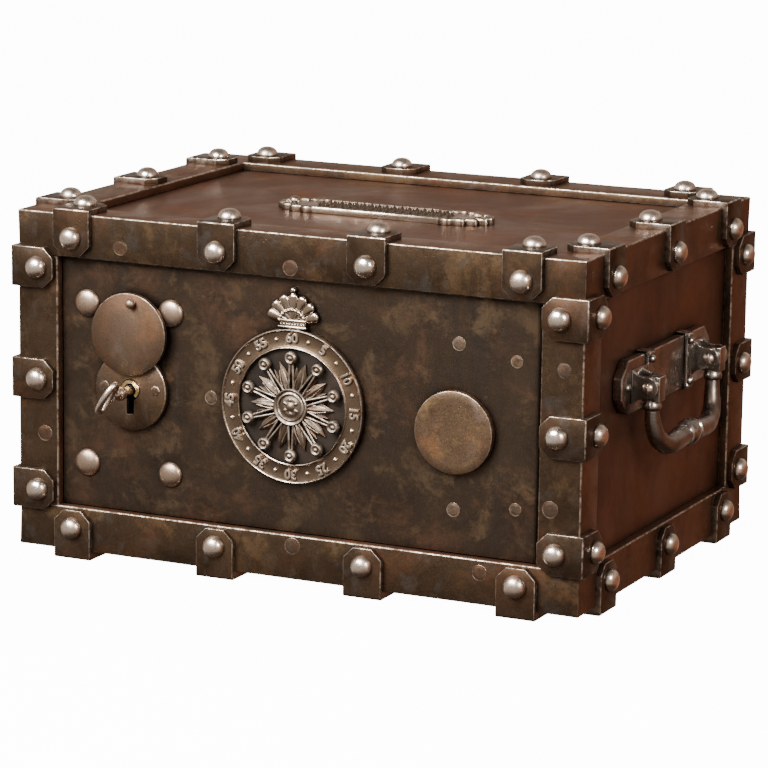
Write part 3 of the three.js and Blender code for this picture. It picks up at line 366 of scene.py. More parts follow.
# The heads get a dark painted shade round their foot.
rivet_skin = worn_metal(
    "rubbed_steel", (0.6, 0.5, 0.42), (0.94, 0.87, 0.8), (0.9, 0.82, 0.75), rust=(0.3, 0.16, 0.09),
    slate=(0.5, 0.46, 0.42), rust_share=0.35, ochre_share=0.1, slate_share=0.25, cloud_scale=60.0,
    shine=0.24, wear=0.0, painted_shade=0.95, painted_shade_reach=7.0, painted_shade_range=(0.25, 0.9), pitting=0.3, waves=0.05,
    metal=1.0, stains=2.2,
)
stud_skin = worn_metal(
    "dull_steel", (0.32, 0.237, 0.18), (0.5, 0.392, 0.315), (0.9, 0.82, 0.75), rust=(0.3, 0.17, 0.1),
    rust_share=0.3, ochre_share=0.1, slate_share=0.15, cloud_scale=45.0, shine=0.34, wear=0.0, painted_shade=0.85,
    painted_shade_reach=4.0, pitting=0.2, waves=0.04, metal=1.0, stains=2.0,
)
disc_skin = worn_metal(
    "brown_steel", (0.095, 0.062, 0.039), (0.195, 0.138, 0.1), (0.8, 0.68, 0.56),
    ochre=(0.2, 0.128, 0.062), slate=(0.19, 0.158, 0.135), rust_share=0.3, ochre_share=0.55,
    slate_share=0.5, cloud_scale=30.0, shine=0.38, wear=0.9, wear_width=0.5, painted_shade=0.6, pitting=0.4,
    waves=0.05, metal=1.0, brushed=0.05, streaks=(1, 1, 0.5), stains=1.6,
)
cast_skin = worn_metal(
    "browned_casting", (0.12, 0.084, 0.058), (0.24, 0.18, 0.13), (0.92, 0.84, 0.76), rust_share=0.25,
    ochre_share=0.15, slate_share=0.2, cloud_scale=50.0, shine=0.32, wear=0.6, wear_width=0.5, painted_shade=0.9,
    pitting=0.2, waves=0.05, metal=1.0,
)
handle_skin = worn_metal(
    "handled_iron", (0.17, 0.15, 0.135), (0.38, 0.355, 0.335), (0.94, 0.92, 0.9), rust_share=0.25,
    ochre_share=0.1, slate_share=0.4, cloud_scale=40.0, shine=0.24, wear=1.0, wear_width=0.7, painted_shade=0.7,
    pitting=0.2, waves=0.1, metal=1.0,
)
key_skin = worn_metal(
    "polished_key", (0.62, 0.52, 0.45), (0.9, 0.82, 0.74), (0.95, 0.9, 0.84), rust_share=0.2,
    ochre_share=0.05, slate_share=0.1, cloud_scale=70.0, shine=0.24, wear=0.0, painted_shade=0.3, pitting=0.1,
    waves=0.03, metal=1.0,
)
bush_skin = worn_metal(
    "worn_brass", (0.5, 0.34, 0.15), (0.8, 0.6, 0.3), (0.95, 0.8, 0.5), rust=(0.12, 0.07, 0.03),
    rust_share=0.3, ochre_share=0.0, slate_share=0.0, cloud_scale=120.0, shine=0.26, wear=0.6,
    wear_width=0.4, painted_shade=0.8, pitting=0.1, waves=0.03, metal=1.0,
)
field_shade_skin = worn_metal(
    "painted_shade_field", (0.016, 0.012, 0.009), (0.03, 0.023, 0.018), (0.1, 0.08, 0.07), rust_share=0.1,
    ochre_share=0.0, slate_share=0.0, shine=0.6, wear=0.2, painted_shade=0.8, pitting=0.5, metal=0.7,
)
print(f"{len(bpy.data.materials)} finishes")

# %% [markdown]
# ## Mesh helpers
# Most pieces are turned on a lathe, sawn from plate or drawn out along a line, so three small makers do
# nearly all of them. Blender's own primitives and modifiers could make them too, but a profile in numbers
# can be read and corrected. Each maker adds to an open bmesh in millimetres.

# %% Rings of points and the skin between them
TINY = 1e-6
MERGE = 1e-4
SOFTEN_FROM = math.radians(28)
EDGE_FROM = math.radians(38)
EDGE_WIDTH = 1.2
SHARP = 38.0


def ring_of(bm, points):
    return [bm.verts.new(p) for p in points]


def bridge(bm, first, second, closed=True):
    """Quads or triangles between two rings. A ring of one vertex is a pole."""
    count = max(len(first), len(second))
    for i in range(count if closed else count - 1):
        j = (i + 1) % count
        corners = [first[k % len(first)] for k in (i, j)] + [second[k % len(second)] for k in (j, i)]
        face_of(bm, corners)


def face_of(bm, corners):
    """A face, unless it has shrunk to an edge because two corners are the same."""
    corners = [v for k, v in enumerate(corners) if v not in corners[:k]]
    if len(corners) > 2:
        bm.faces.new(corners)


def skin(bm, rings, closed=False):
    """Bridges ring after ring. The last meets the first, or both ends get a cap."""
    for first, second in zip(rings, rings[1:]):
        bridge(bm, first, second)
    if closed:
        bridge(bm, rings[-1], rings[0])
    else:
        face_of(bm, rings[0])
        face_of(bm, rings[-1])


# %% Turn, saw and draw


def around(count):
    """Even angles of a full circle."""
    return [2 * math.pi * i / count for i in range(count)]


def turned(bm, profile, placed, sides=48):
    """Turns (radius, height) pairs about local Z. A profile starts and ends on the axis or meets itself."""
    rings = []
    for radius, height in profile:
        angles = around(sides if radius > TINY else 1)
        points = [Vector((radius * math.cos(a), radius * math.sin(a), height)) for a in angles]
        rings.append(ring_of(bm, [placed @ p for p in points]))
    skin(bm, rings, closed=len(rings[0]) > 1)


def dome(radius, height, steps, power):
    """Profile of a dome from its top to its foot. The lower the power, the steeper its rim."""
    turns = [k / steps * math.pi / 2 for k in range(1, steps + 1)]
    return [(0, height)] + [(radius * math.sin(t) ** power, height * math.cos(t)) for t in turns]


def sawn(bm, outline, low, high, placed):
    """A plate: a flat outline in local X and Y, from one height to another."""
    under = ring_of(bm, [placed @ Vector((x, y, low)) for x, y in outline])
    over = ring_of(bm, [placed @ Vector((x, y, high)) for x, y in outline])
    bm.faces.new(under)
    bm.faces.new(over)
    bridge(bm, under, over)


def slab(bm, low, high, placed):
    outline = [(low[0], low[1]), (high[0], low[1]), (high[0], high[1]), (low[0], high[1])]
    sawn(bm, outline, low[2], high[2], placed)


def drawn(bm, path, radius_at, sides=20, closed=False):
    """A round bar along a list of points. radius_at gives its radius from 0 at one end to 1 at the other."""
    rings = []
    count = len(path)
    side = None
    for i, point in enumerate(path):
        after = path[(i + 1) % count] if closed or i < count - 1 else point
        before = path[i - 1] if closed or i > 0 else point
        along = (after - before).normalized()
        if side is None:
            side = along.orthogonal().normalized()
        side = (side - along * side.dot(along)).normalized()
        across = along.cross(side)
        radius = radius_at(i / (count - 1))
        rings.append(ring_of(bm, [
            point + side * (radius * math.cos(a)) + across * (radius * math.sin(a)) for a in around(sides)
        ]))
    skin(bm, rings, closed)


# %% [markdown]
# No edge of a worn thing is sharp. A Bevel modifier could round them all, but it would round the thin ones
# as much as the thick ones, so each part is rounded by itself before it is joined to the rest. Afterwards
# the narrow faces of the roundings are marked, and the finish rubs them bright, with a painted highlight on
# those that face up or to the right.

# %% Round and mark the edges


def close(bm):
    """Merges what meets and turns every face outwards."""
    bmesh.ops.remove_doubles(bm, verts=bm.verts, dist=MERGE)
    bmesh.ops.recalc_face_normals(bm, faces=bm.faces)


def soften(bm, width, steps=2):
    """Rounds every edge that is sharper than SOFTEN_FROM."""
    bm.normal_update()
    edges = [e for e in bm.edges if len(e.link_faces) == 2 and e.calc_face_angle(0) > SOFTEN_FROM]
    bmesh.ops.bevel(
        bm, geom=edges, offset=width, segments=steps, profile=0.5, affect="EDGES", clamp_overlap=True,
    )


def joined(bm, part, width=0.5, steps=2):
    """Rounds the edges of a part by itself and adds it to the whole."""
    close(part)
    if width:
        soften(part, width, steps)
    mesh = bpy.data.meshes.new("part")
    part.to_mesh(mesh)
    part.free()
    bm.from_mesh(mesh)
    bpy.data.meshes.remove(mesh)


def mark_edges(bm, polish_and_highlight=None, width=EDGE_WIDTH):
    """Marks the narrow outward faces that round an edge, for the finish to rub them bright.

    A function of the face may give a whole face a share of that brightness too: wear on some pieces, a painted
    highlight on others.
    """
    layer = bm.faces.layers.float.new("wear_and_highlight")
    bm.normal_update()
    limit = math.cos(EDGE_FROM)
    for face in bm.faces:
        if polish_and_highlight:
            face[layer] = polish_and_highlight(face)
        near = [
            (other, (edge.verts[0].co + edge.verts[1].co) / 2)
            for edge in face.edges for other in edge.link_faces if other is not face
        ]
        for (one, here), (two, there) in itertools.combinations(near, 2):
            apart = there - here
            outward = (two.normal - one.normal).dot(apart) > 0
            if outward and apart.length < width and one.normal.dot(two.normal) < limit:
                face[layer] = 1.0
                break


# %% [markdown]
# `place_piece` closes a bmesh, marks its edges, shades it and puts it into the part's metres. The place is
# in the mesh, so the object itself stays at the origin. Then the piece rides on its body, takes the slot
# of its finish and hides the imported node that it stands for.

# %% Put a piece in its place


def facing(x, y, z, out):
    """A place whose local Z points out: '-y', 'y', 'x' or 'z'. Local Y is up the box, or back for 'z'."""
    turns = {
        "-y": Matrix(((1, 0, 0), (0, 0, -1), (0, 1, 0))),
        "y": Matrix(((-1, 0, 0), (0, 0, 1), (0, 1, 0))),
        "x": Matrix(((0, 0, 1), (1, 0, 0), (0, 1, 0))),
        "z": Matrix.Identity(3),
    }
    return Matrix.Translation((x, y, z)) @ turns[out].to_4x4()


def shaded_mesh(name, bm, sharp):
    """The mesh of a bmesh, smooth but for the edges that turn by more than sharp degrees."""
    mesh = bpy.data.meshes.new(name)
    bm.to_mesh(mesh)
    bm.free()
    shade(mesh, sharp)
    return mesh


def shade(mesh, sharp):
    mesh.polygons.foreach_set("use_smooth", [True] * len(mesh.polygons))
    mesh.set_sharp_from_angle(angle=math.radians(sharp))


def mount(name, mesh, body):
    """Shows a finished mesh and lets it ride on its body."""
    piece = show(name, mesh)
    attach(piece, body)
    print(f"{name}: {len(mesh.polygons)} faces on {body}")
    return piece


def place_piece(name, bm, material, body, replaces=(), sharp=SHARP, polish_and_highlight=None):
    """Closes the bmesh, marks its edges, puts it into the part's metres and lets it ride."""
    close(bm)
    mark_edges(bm, polish_and_highlight)
    bm.transform(to_frame)
    mesh = shaded_mesh(name, bm, sharp)
    mesh.materials.append(material)
    piece = mount(name, mesh, body)
    if replaces:
        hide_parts(*replaces)


# %% [markdown]
# ## The angle irons
# Twelve lengths of rolled angle make the frame. A curve with a profile would give such a bar, but only with
# square ends. So each is drawn as the section of an angle, with a rounded heel, soft toes and a fillet
# inside, and pulled along its length. The rails meet in a mitre, the posts stand between them. A forged
# bar is never dead straight, so the stations wander by a tenth of a millimetre. The noise is given a seed,
# because without one it starts from the clock and the box would differ on every run.

# %% Where every iron runs
CLIP_INSET = 43.0
POST_CLIP_RAISE = 1.2
POST_CLIP_STEP = 78.0
POST_LENGTH = HEIGHT - 2 * FLANGE - GAP
front_and_back = (("front", -1), ("back", 1))
left_and_right = (("left", -1), ("right", 1))


def spread(length, count):
    """Even places along a rail, the outer two CLIP_INSET from its ends."""
    free = length - 2 * CLIP_INSET
    return [CLIP_INSET - length / 2 + i * free / (count - 1) for i in range(count)]


def iron_table():
    """Rows of name, the two ways out, the heel's middle, length, whether it is mitred and its clips."""
    rows = []
    across = spread(WIDTH, 4)
    deep = spread(DEPTH, 3)
    tall = [POST_CLIP_RAISE + i * POST_CLIP_STEP for i in (-1, 0, 1)]
    for end, z, up_or_down in (("top", HEIGHT, (0, 0, 1)), ("bottom", 0.0, (0, 0, -1))):
        for where, side in front_and_back:
            heel = (0, side * DEPTH / 2, z)
            rows.append((f"{end}_{where}_iron", (0, side, 0), up_or_down, heel, WIDTH, True, across))
        for where, side in left_and_right:
            heel = (side * WIDTH / 2, 0, z)
            rows.append((f"{end}_{where}_iron", (side, 0, 0), up_or_down, heel, DEPTH, True, deep))
    for where, sy in front_and_back:
        for side, sx in left_and_right:
            heel = (sx * WIDTH / 2, sy * DEPTH / 2, HEIGHT / 2)
            rows.append((f"{where}_{side}_post", (0, sy, 0), (sx, 0, 0), heel, POST_LENGTH, False, tall))
    return rows


def iron_space(first, second, heel):
    """Local X along the iron, local -Y out of the first flange, local Z out of the second."""
    first = Vector(first)
    second = Vector(second)
    along = second.cross(first)
    axes = Matrix((along, -first, second)).transposed().to_4x4()
    return Matrix.Translation(heel) @ axes, along


irons = iron_table()
print(f"{len(irons)} irons, {sum(len(row[6]) for row in irons)} clips")

# %% Roll the angle and cut it to length
STATION = 16.0
WANDER = 0.16
WANDER_SCALE = 23.0
noise.seed_set(7)


def round_corners(corners, radii, steps=3):
    """An outline with each corner replaced by an arc."""
    points = []
    count = len(corners)
    for i, radius in enumerate(radii):
        here = Vector(corners[i])
        before = (Vector(corners[i - 1]) - here).normalized()
        after = (Vector(corners[(i + 1) % count]) - here).normalized()
        half = before.angle(after) / 2
        reach = radius / math.tan(half)
        centre = here + (before + after).normalized() * (radius / math.sin(half))
        start = here + before * reach - centre
        end = here + after * reach - centre
        for k in range(steps + 1):
            points.append(tuple(centre + start.slerp(end, k / steps)))
    return points


angle_section = round_corners(
    [(0, 0), (FLANGE, 0), (FLANGE, IRON), (IRON, IRON), (IRON, FLANGE), (0, FLANGE)],
    [0.45, 1.1, 0.6, 3.0, 0.6, 1.1],
)

for name, first, second, heel, length, mitred, _ in irons:
    space, _ = iron_space(first, second, heel)
    inward = space.to_3x3() @ Vector((0, 1, -1))
    bm = bmesh.new()
    stations = 2 * round(length / STATION)
    rings = []
    for i in range(stations + 1):
        share = -1 + 2 * i / stations
        ring = []
        for depth, under in angle_section:
            end = length / 2 - GAP / 2 - (depth if mitred else 0)
            point = space @ Vector((share * end, depth, -under))
            drift = noise.noise_vector(point / WANDER_SCALE).x
            ring.append(point + inward * (WANDER * (1 + drift) / 2) * (0 < i < stations))
        rings.append(ring_of(bm, ring))
    skin(bm, rings)
    place_piece(f"{name}_bar", bm, iron_skin, "body", [name])

# %% [markdown]
# ## Clips and rivet heads
# Forty straps are bent over the heels of the irons, and 66 rivet heads show on them. Nothing repeats more
# on this box. Array modifiers would need one for each row, so a strap and a rivet head are modelled once,
# and a Geometry Nodes tree puts a copy at every point of a cloud of points. Each point carries its own
# turn. The tree also makes the small errors of handwork: a head is a little larger or smaller than the
# next and a strap is turned by half a degree or less. Where the box stands on its straps, they are thicker.

# %% One bent strap
CLIP_WIDTH = 28.0
CLIP_THICK = 4.4
FOOT_LEG = 6.0
CLIP_REACH = 28.5
CLIP_CHAMFER = 7.2
BEND = 1.6
BEND_STEPS = 4
SINK = 0.3


def strap_mesh(over):
    """A strap over a heel at the origin: one leg down the -Y face, the other along the +Z face."""
    half = CLIP_WIDTH / 2
    narrow = half - CLIP_CHAMFER
    shoulder = CLIP_REACH - CLIP_CHAMFER
    stations = [((SINK, -CLIP_REACH), (-CLIP_THICK, -CLIP_REACH), narrow)]
    stations.append(((SINK, -shoulder), (-CLIP_THICK, -shoulder), half))
    for k in range(BEND_STEPS + 1):
        turn = math.pi - k / BEND_STEPS * math.pi / 2
        outer = (-CLIP_THICK + BEND + BEND * math.cos(turn), over - BEND + BEND * math.sin(turn))
        stations.append(((SINK, -SINK), outer, half))
    stations.append(((shoulder, -SINK), (shoulder, over), half))
    stations.append(((CLIP_REACH, -SINK), (CLIP_REACH, over), narrow))
    bm = bmesh.new()
    rings = []
    for (iy, iz), (oy, oz), wide in stations:
        rings.append(ring_of(bm, [(-wide, iy, iz), (wide, iy, iz), (wide, oy, oz), (-wide, oy, oz)]))
    skin(bm, rings)
    close(bm)
    soften(bm, 0.45)
    return bm


def strap_side_highlight(face):
    """The two long sides of a strap get a painted highlight: they are a little brighter than its front."""
    return 0.22 if abs(face.normal.x) > 0.9 else 0.0


def shape_object(name, bm, polish_and_highlight=None, edge_width=EDGE_WIDTH):
    """A hidden pattern object that the tree copies from."""
    mark_edges(bm, polish_and_highlight, edge_width)
    return bpy.data.objects.new(name, shaded_mesh(name, bm, SHARP))


straps = {over: shape_object("strap", strap_mesh(over), strap_side_highlight) for over in (CLIP_THICK, FOOT_LEG)}
print(f"strap of {len(straps[CLIP_THICK].data.polygons)} faces")

# %% One domed head
HEAD_RADIUS = 8.0
HEAD_HEIGHT = 6.5
HEAD_SINK = 0.4


def head_mesh():
    """A snap head: a flattened ball that comes down nearly upright at its rim."""
    profile = dome(HEAD_RADIUS, HEAD_HEIGHT, 7, 0.82)
    profile += [(HEAD_RADIUS * 0.98, -HEAD_SINK), (0, -HEAD_SINK)]
    bm = bmesh.new()
    turned(bm, profile, Matrix.Identity(4), 24)
    close(bm)
    return bm


head = shape_object("head", head_mesh())
print(f"head of {len(head.data.polygons)} faces")

# %% The tree that sets a copy at every point


def copying_tree(name):
    """Points in, one finished mesh of copies out, each with its point's turn and a small error."""
    tree = bpy.data.node_groups.new(name, "GeometryNodeTree")
    for socket, way, kind in (
        ("Points", "INPUT", "Geometry"), ("Pattern", "INPUT", "Object"), ("Size error", "INPUT", "Float"),
        ("Turn error", "INPUT", "Float"), ("Seed", "INPUT", "Int"), ("Finish", "INPUT", "Material"),
        ("Copies", "OUTPUT", "Geometry"),
    ):
        tree.interface.new_socket(socket, in_out=way, socket_type=f"NodeSocket{kind}")
    given = add(tree, "NodeGroupInput").outputs
    cloud = add(tree, "GeometryNodeMeshToPoints", {"Mesh": given["Points"]}).outputs[0]
    pattern = add(tree, "GeometryNodeObjectInfo", {"Object": given["Pattern"]}).outputs["Geometry"]
    own_turn = add(tree, "GeometryNodeInputNamedAttribute", {"Name": "turn"}, data_type="FLOAT_VECTOR")
    copies = add(tree, "GeometryNodeInstanceOnPoints", {
        "Points": cloud, "Instance": pattern, "Rotation": own_turn.outputs[0],
    }).outputs[0]
    size_low = maths(tree, "SUBTRACT", 1.0, given["Size error"])
    size_high = maths(tree, "ADD", 1.0, given["Size error"])
    sizes = {2: size_low, 3: size_high, "Seed": given["Seed"]}
    size = add(tree, "FunctionNodeRandomValue", sizes).outputs[1]
    copies = add(tree, "GeometryNodeScaleInstances", {"Instances": copies, "Scale": size}).outputs[0]
    turn_low = maths(tree, "MULTIPLY", given["Turn error"], -1.0)
    turn_seed = add(tree, "FunctionNodeIntegerMath", {0: given["Seed"], 1: 7}, operation="ADD").outputs[0]
    turns = {2: turn_low, 3: given["Turn error"], "Seed": turn_seed}
    turn_by = add(tree, "FunctionNodeRandomValue", turns).outputs[1]
    turn_xyz = add(tree, "ShaderNodeCombineXYZ", {"X": turn_by, "Z": turn_by}).outputs[0]
    copies = add(tree, "GeometryNodeRotateInstances", {"Instances": copies, "Rotation": turn_xyz}).outputs[0]
    solid = add(tree, "GeometryNodeRealizeInstances", {"Geometry": copies}).outputs[0]
    finish = {"Geometry": solid, "Material": given["Finish"]}
    add(tree, "NodeGroupOutput", {"Copies": add(tree, "GeometryNodeSetMaterial", finish).outputs[0]})
    print(f"{name}: {len(tree.nodes)} nodes")
    return tree


copier = copying_tree("copy_at_points")


def set_copies(name, places, pattern, material, body, size_error=0.0, turn_error=0.0, seed=1):
    """Copies the pattern to a list of matrices in drawing millimetres, as one plain mesh on a body."""
    mesh = bpy.data.meshes.new(name)
    mesh.from_pydata([m.to_translation() for m in places], [], [])
    turns = mesh.attributes.new("turn", "FLOAT_VECTOR", "POINT")
    for i, m in enumerate(places):
        turns.data[i].vector = m.to_euler()
    holder = show(name + "_points", mesh)
    modifier = holder.modifiers.new("copies", "NODES")
    modifier.node_group = copier
    given = {
        "Pattern": pattern, "Size error": size_error, "Turn error": math.radians(turn_error), "Seed": seed,
        "Finish": material,
    }
    for item in copier.interface.items_tree:
        if item.name in given:
            modifier[item.identifier] = given[item.name]
    evaluated = holder.evaluated_get(bpy.context.evaluated_depsgraph_get())
    made = bpy.data.meshes.new_from_object(evaluated)
    bpy.data.objects.remove(holder)
    made.name = name
    made.transform(to_frame)
    shade(made, SHARP)
    spent = made.attributes.get("turn")
    if spent:
        made.attributes.remove(spent)
    print(f"{len(places)} copies of the {pattern.name}")
    mount(name, made, body)


# %% Set the clips and their heads
RIVET_INSET = 16.0
clip_places = {CLIP_THICK: [], FOOT_LEG: []}
head_places = []
out_of_first = Matrix.Rotation(math.radians(90), 4, "X")
for name, first, second, heel, _, _, places in irons:
    space, along = iron_space(first, second, heel)
    way = along.x + along.y + along.z
    stands_on_it = name.startswith("bottom")
    for where in places:
        at_clip = space @ Matrix.Translation((where * way, 0, 0))
        clip_places[FOOT_LEG if stands_on_it else CLIP_THICK].append(at_clip)
        head_places.append(at_clip @ Matrix.Translation((0, -CLIP_THICK, -RIVET_INSET)) @ out_of_first)
        if not stands_on_it:
            head_places.append(at_clip @ Matrix.Translation((0, RIVET_INSET, CLIP_THICK)))
set_copies("bent_clips", clip_places[CLIP_THICK], straps[CLIP_THICK], strap_skin, "body", 0.0, 0.5, seed=3)
set_copies("foot_clips", clip_places[FOOT_LEG], straps[FOOT_LEG], strap_skin, "body", 0.0, 0.0, seed=6)
set_copies("rivet_heads", head_places, head, rivet_skin, "body", 0.03, 0.0, seed=5)

# %% [markdown]
# ## Flush rivets
# Between the clips the irons and the door are also held by rivets that were hammered into a countersink
# and filed flat. They only show as round spots, a little redder than the iron, whose seam catches the
# light at the lower left. They could be painted into the iron's finish, but then the seam would catch no
# light, so each is a disc that stands three tenths of a millimetre proud with a groove round it. Its rim
# is also painted brighter at the lower left: a painted highlight.

# %% Set the flush rivets
SPOTS_ON_IRONS = (
    (-130.8, 215.0), (-1.8, 212.5), (1.5, 22.5), (139.4, 21.0), (-190.5, 80.1), (197.3, 162.9), (188.8, 69.6),
)
SPOTS_ON_DOOR = ((119.2, 171.8), (160.6, 163.9), (117.0, 59.9), (161.4, 65.1), (-64.0, 116.8))
door_face = level("door_plate", 1, 0)
front_face = -DEPTH / 2


def flush_head(radius, seam):
    """A filed head. seam is how bright its rim is painted at the lower left: a painted highlight."""
    profile = [
        (0, 0.3), (radius * 0.5, 0.3), (radius - 1.0, 0.26), (radius - 0.6, 0.12), (radius, 0.16),
        (radius + 0.3, -0.1), (0, -0.1),
    ]
    bm = bmesh.new()
    turned(bm, profile, Matrix.Identity(4), 32)
    close(bm)

    def polish_and_highlight(face):
        reach = face.calc_center_median().to_2d()
        if reach.length < radius - 0.65:
            return 0.0
        return seam * max(0.12, -reach.normalized().dot(Vector((0.6, 0.8))))

    return shape_object("flush", bm, polish_and_highlight, edge_width=0)


on_irons = [facing(x, front_face, z, "-y") for x, z in SPOTS_ON_IRONS]
on_door = [facing(x, door_face, z, "-y") for x, z in SPOTS_ON_DOOR]
flush_skin = worn_metal(
    "filed_rivet", (0.06, 0.037, 0.024), (0.12, 0.075, 0.053), (0.75, 0.62, 0.52),
    rust=(0.14, 0.07, 0.04), rust_share=0.5, ochre_share=0.4, cloud_scale=150.0, shine=0.36, wear=1.2,
    wear_width=0.3, painted_shade=0.3, stains=5.0,
)
door_flush_skin = worn_metal(
    "filed_door_rivet", (0.068, 0.046, 0.032), (0.2, 0.148, 0.11), (0.75, 0.62, 0.52),
    rust=(0.16, 0.085, 0.05), rust_share=0.5, ochre_share=0.4, cloud_scale=230.0, shine=0.36, wear=1.2,
    wear_width=0.3, painted_shade=0.3, stains=5.0,
)
set_copies("flush_rivets_irons", on_irons, flush_head(5.4, 0.7), flush_skin, "body", 0.08, 0.0, seed=2)
set_copies("flush_rivets_door", on_door, flush_head(4.5, 1.0), door_flush_skin, "door", 0.08, 0.0, seed=4)

# %% [markdown]
# ## Plates, door and the works inside
# Flat plates need no new mesh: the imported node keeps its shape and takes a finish. The same goes for the
# door frame, the lock case, the bolt, the hinge straps and the pivots, which only show when the door
# stands open. Their mesh is never changed, so only the material slots are filled.

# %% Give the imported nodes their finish


def dress(material, *names):
    for name in names:
        mesh = nodes[name].data
        mesh.materials.clear()
        mesh.materials.append(material)
    print(f"{material.name} on {len(names)} nodes")


dress(plate_skin, "top_plate", "left_plate", "right_plate", "back_plate", "bottom_plate")
dress(door_skin, "door_plate", "door_frame", "hinge_strap_upper", "hinge_strap_lower", "lock_case")
dress(rivet_skin, "door_pivot_top", "door_pivot_bottom", "lock_bolt")

# %% [markdown]
# ## Studs of the lock
# Four low domes hold the lock case from outside. They are wide and shallow, so the highlight on them is
# broader than on the frame's rivets. A squashed sphere would come in flat at its rim. A turned profile
# rises steeply there, as a hammered head does, and it goes on into the shank behind the door.

# %% Turn the four studs
STUD_HEIGHT = 4.2
STUD_RADII = {"upper_left": 9.6, "upper_right": 9.6, "lower_left": 9.6, "lower_right": 8.8}
SHANK = 3.0
SHANK_LENGTH = 20.0
door_seat = door_face - GAP
for corner, radius in STUD_RADII.items():
    name = f"lock_stud_{corner}"
    middle = middle_of(name)
    profile = dome(radius, STUD_HEIGHT, 8, 0.92)
    profile += [(radius - 0.2, -0.25), (SHANK, -0.25), (SHANK, -SHANK_LENGTH + 0.2), (0, -SHANK_LENGTH)]
    bm = bmesh.new()
    turned(bm, profile, facing(middle.x, door_seat, middle.z, "-y"), 40)
    place_piece(f"{name}_dome", bm, stud_skin, "door", [name])

# %% [markdown]
# ## Discs
# The keyhole escutcheon, the swinging cover and the blind disc are all plain turned steel with a narrow
# bevel round the rim, which catches the light as a thin bright line. The escutcheon has a keyhole. A
# Boolean would cut it and leave long thin faces, so the disc is built from rays: from the key's axis, each
# ray meets the keyhole's outline and then the rim.

# %% Keyhole geometry
KEY_X = -124.0
KEY_Z = 117.0
SLOT_HALF = 2.8
SLOT_DROP = 17.0
ESCUTCHEON_RADIUS = 27.5
ESCUTCHEON_THICK = 4.2
ESCUTCHEON_DROP = 1.0
escutcheon_front = level("keyhole_escutcheon", 1, 0)
escutcheon_back = level("keyhole_escutcheon", 1, 1)


def keyhole_reach(angle, radius):
    """Distance from the key's axis to the keyhole's outline at an angle, measured from straight down."""
    down = math.cos(angle)
    aside = abs(math.sin(angle))
    if down > 0:
        slot = min(SLOT_DROP / down, SLOT_HALF / max(aside, 1e-6))
        return max(radius, slot)
    return radius


def keyhole_angles(radius, count=96):
    """Even rays, plus the rays that meet the slot's corners exactly."""
    corner = math.atan2(SLOT_HALF, SLOT_DROP)
    join = math.asin(SLOT_HALF / radius)
    extra = [corner, join, 2 * math.pi - corner, 2 * math.pi - join]
    return sorted(set(round(a, 6) for a in around(count) + extra))


def pierced_disc(bm, outer_reach, inner_reach, angles, steps, centre):
    """A flat ring between two outlines. steps are (outer inset, inner inset, height), back to front."""
    loops = []
    for outer_in, inner_in, height in steps:
        outer = []
        inner = []
        for a in angles:
            for ring, reach in ((outer, outer_reach(a) - outer_in), (inner, inner_reach(a) + inner_in)):
                ring.append(centre @ Vector((math.sin(a) * reach, -math.cos(a) * reach, height)))
        loops.append((ring_of(bm, outer), ring_of(bm, inner)))
    for (outer, inner), (next_outer, next_inner) in zip(loops, loops[1:]):
        bridge(bm, outer, next_outer)
        bridge(bm, next_inner, inner)
    bridge(bm, loops[0][1], loops[0][0])
    bridge(bm, loops[-1][0], loops[-1][1])


print(f"key at {KEY_X} across and {KEY_Z} up, keyhole {2 * SLOT_HALF} mm wide")

# %% Escutcheon with its two peened pins
HOLE_RADIUS = 7.3
PEENED_AT = (-20.0, 19.5)


def rim_reach(a):
    """From the key's axis to the rim of the disc, whose centre lies a little lower."""
    down = ESCUTCHEON_DROP * math.cos(a)
    return down + math.sqrt(ESCUTCHEON_RADIUS**2 - (ESCUTCHEON_DROP * math.sin(a)) ** 2)


def hole_reach(a):
    return keyhole_reach(a, HOLE_RADIUS)


def peened_pin(x):
    """A pin that was hammered flush: a low spot whose points are pushed about by noise."""
    profile = [(0, 0.35), (1.2, 0.3), (2.2, 0.3), (3.0, 0.2), (3.4, 0.0), (3.4, -0.3), (0, -0.3)]
    spot = bmesh.new()
    turned(spot, profile, facing(KEY_X + x, escutcheon_front, KEY_Z + 1.0, "-y"), 18)
    for vert in spot.verts:
        struck = noise.noise_vector(vert.co / 1.3)
        vert.co += Vector((0.5 * struck.x, 0.22 * min(0.6, struck.y), 0.5 * struck.z))
    return spot


escutcheon_at = facing(KEY_X, escutcheon_back, KEY_Z, "-y")
escutcheon_steps = [
    (0, 0, 0), (0, 0, ESCUTCHEON_THICK - 0.9), (0.25, 0, ESCUTCHEON_THICK - 0.4),
    (0.8, 0.25, ESCUTCHEON_THICK),
]
bm = bmesh.new()
pierced_disc(bm, rim_reach, hole_reach, keyhole_angles(HOLE_RADIUS), escutcheon_steps, escutcheon_at)
for x in PEENED_AT:
    joined(bm, peened_pin(x), 0)
place_piece("escutcheon_disc", bm, disc_skin, "door", ["keyhole_escutcheon"])

# %% [markdown]
# A brass bush lines the keyhole. It is open at the bottom for the key's bit, so it can't be turned. Its
# section is carried round an arc from one lip of the opening to the other.

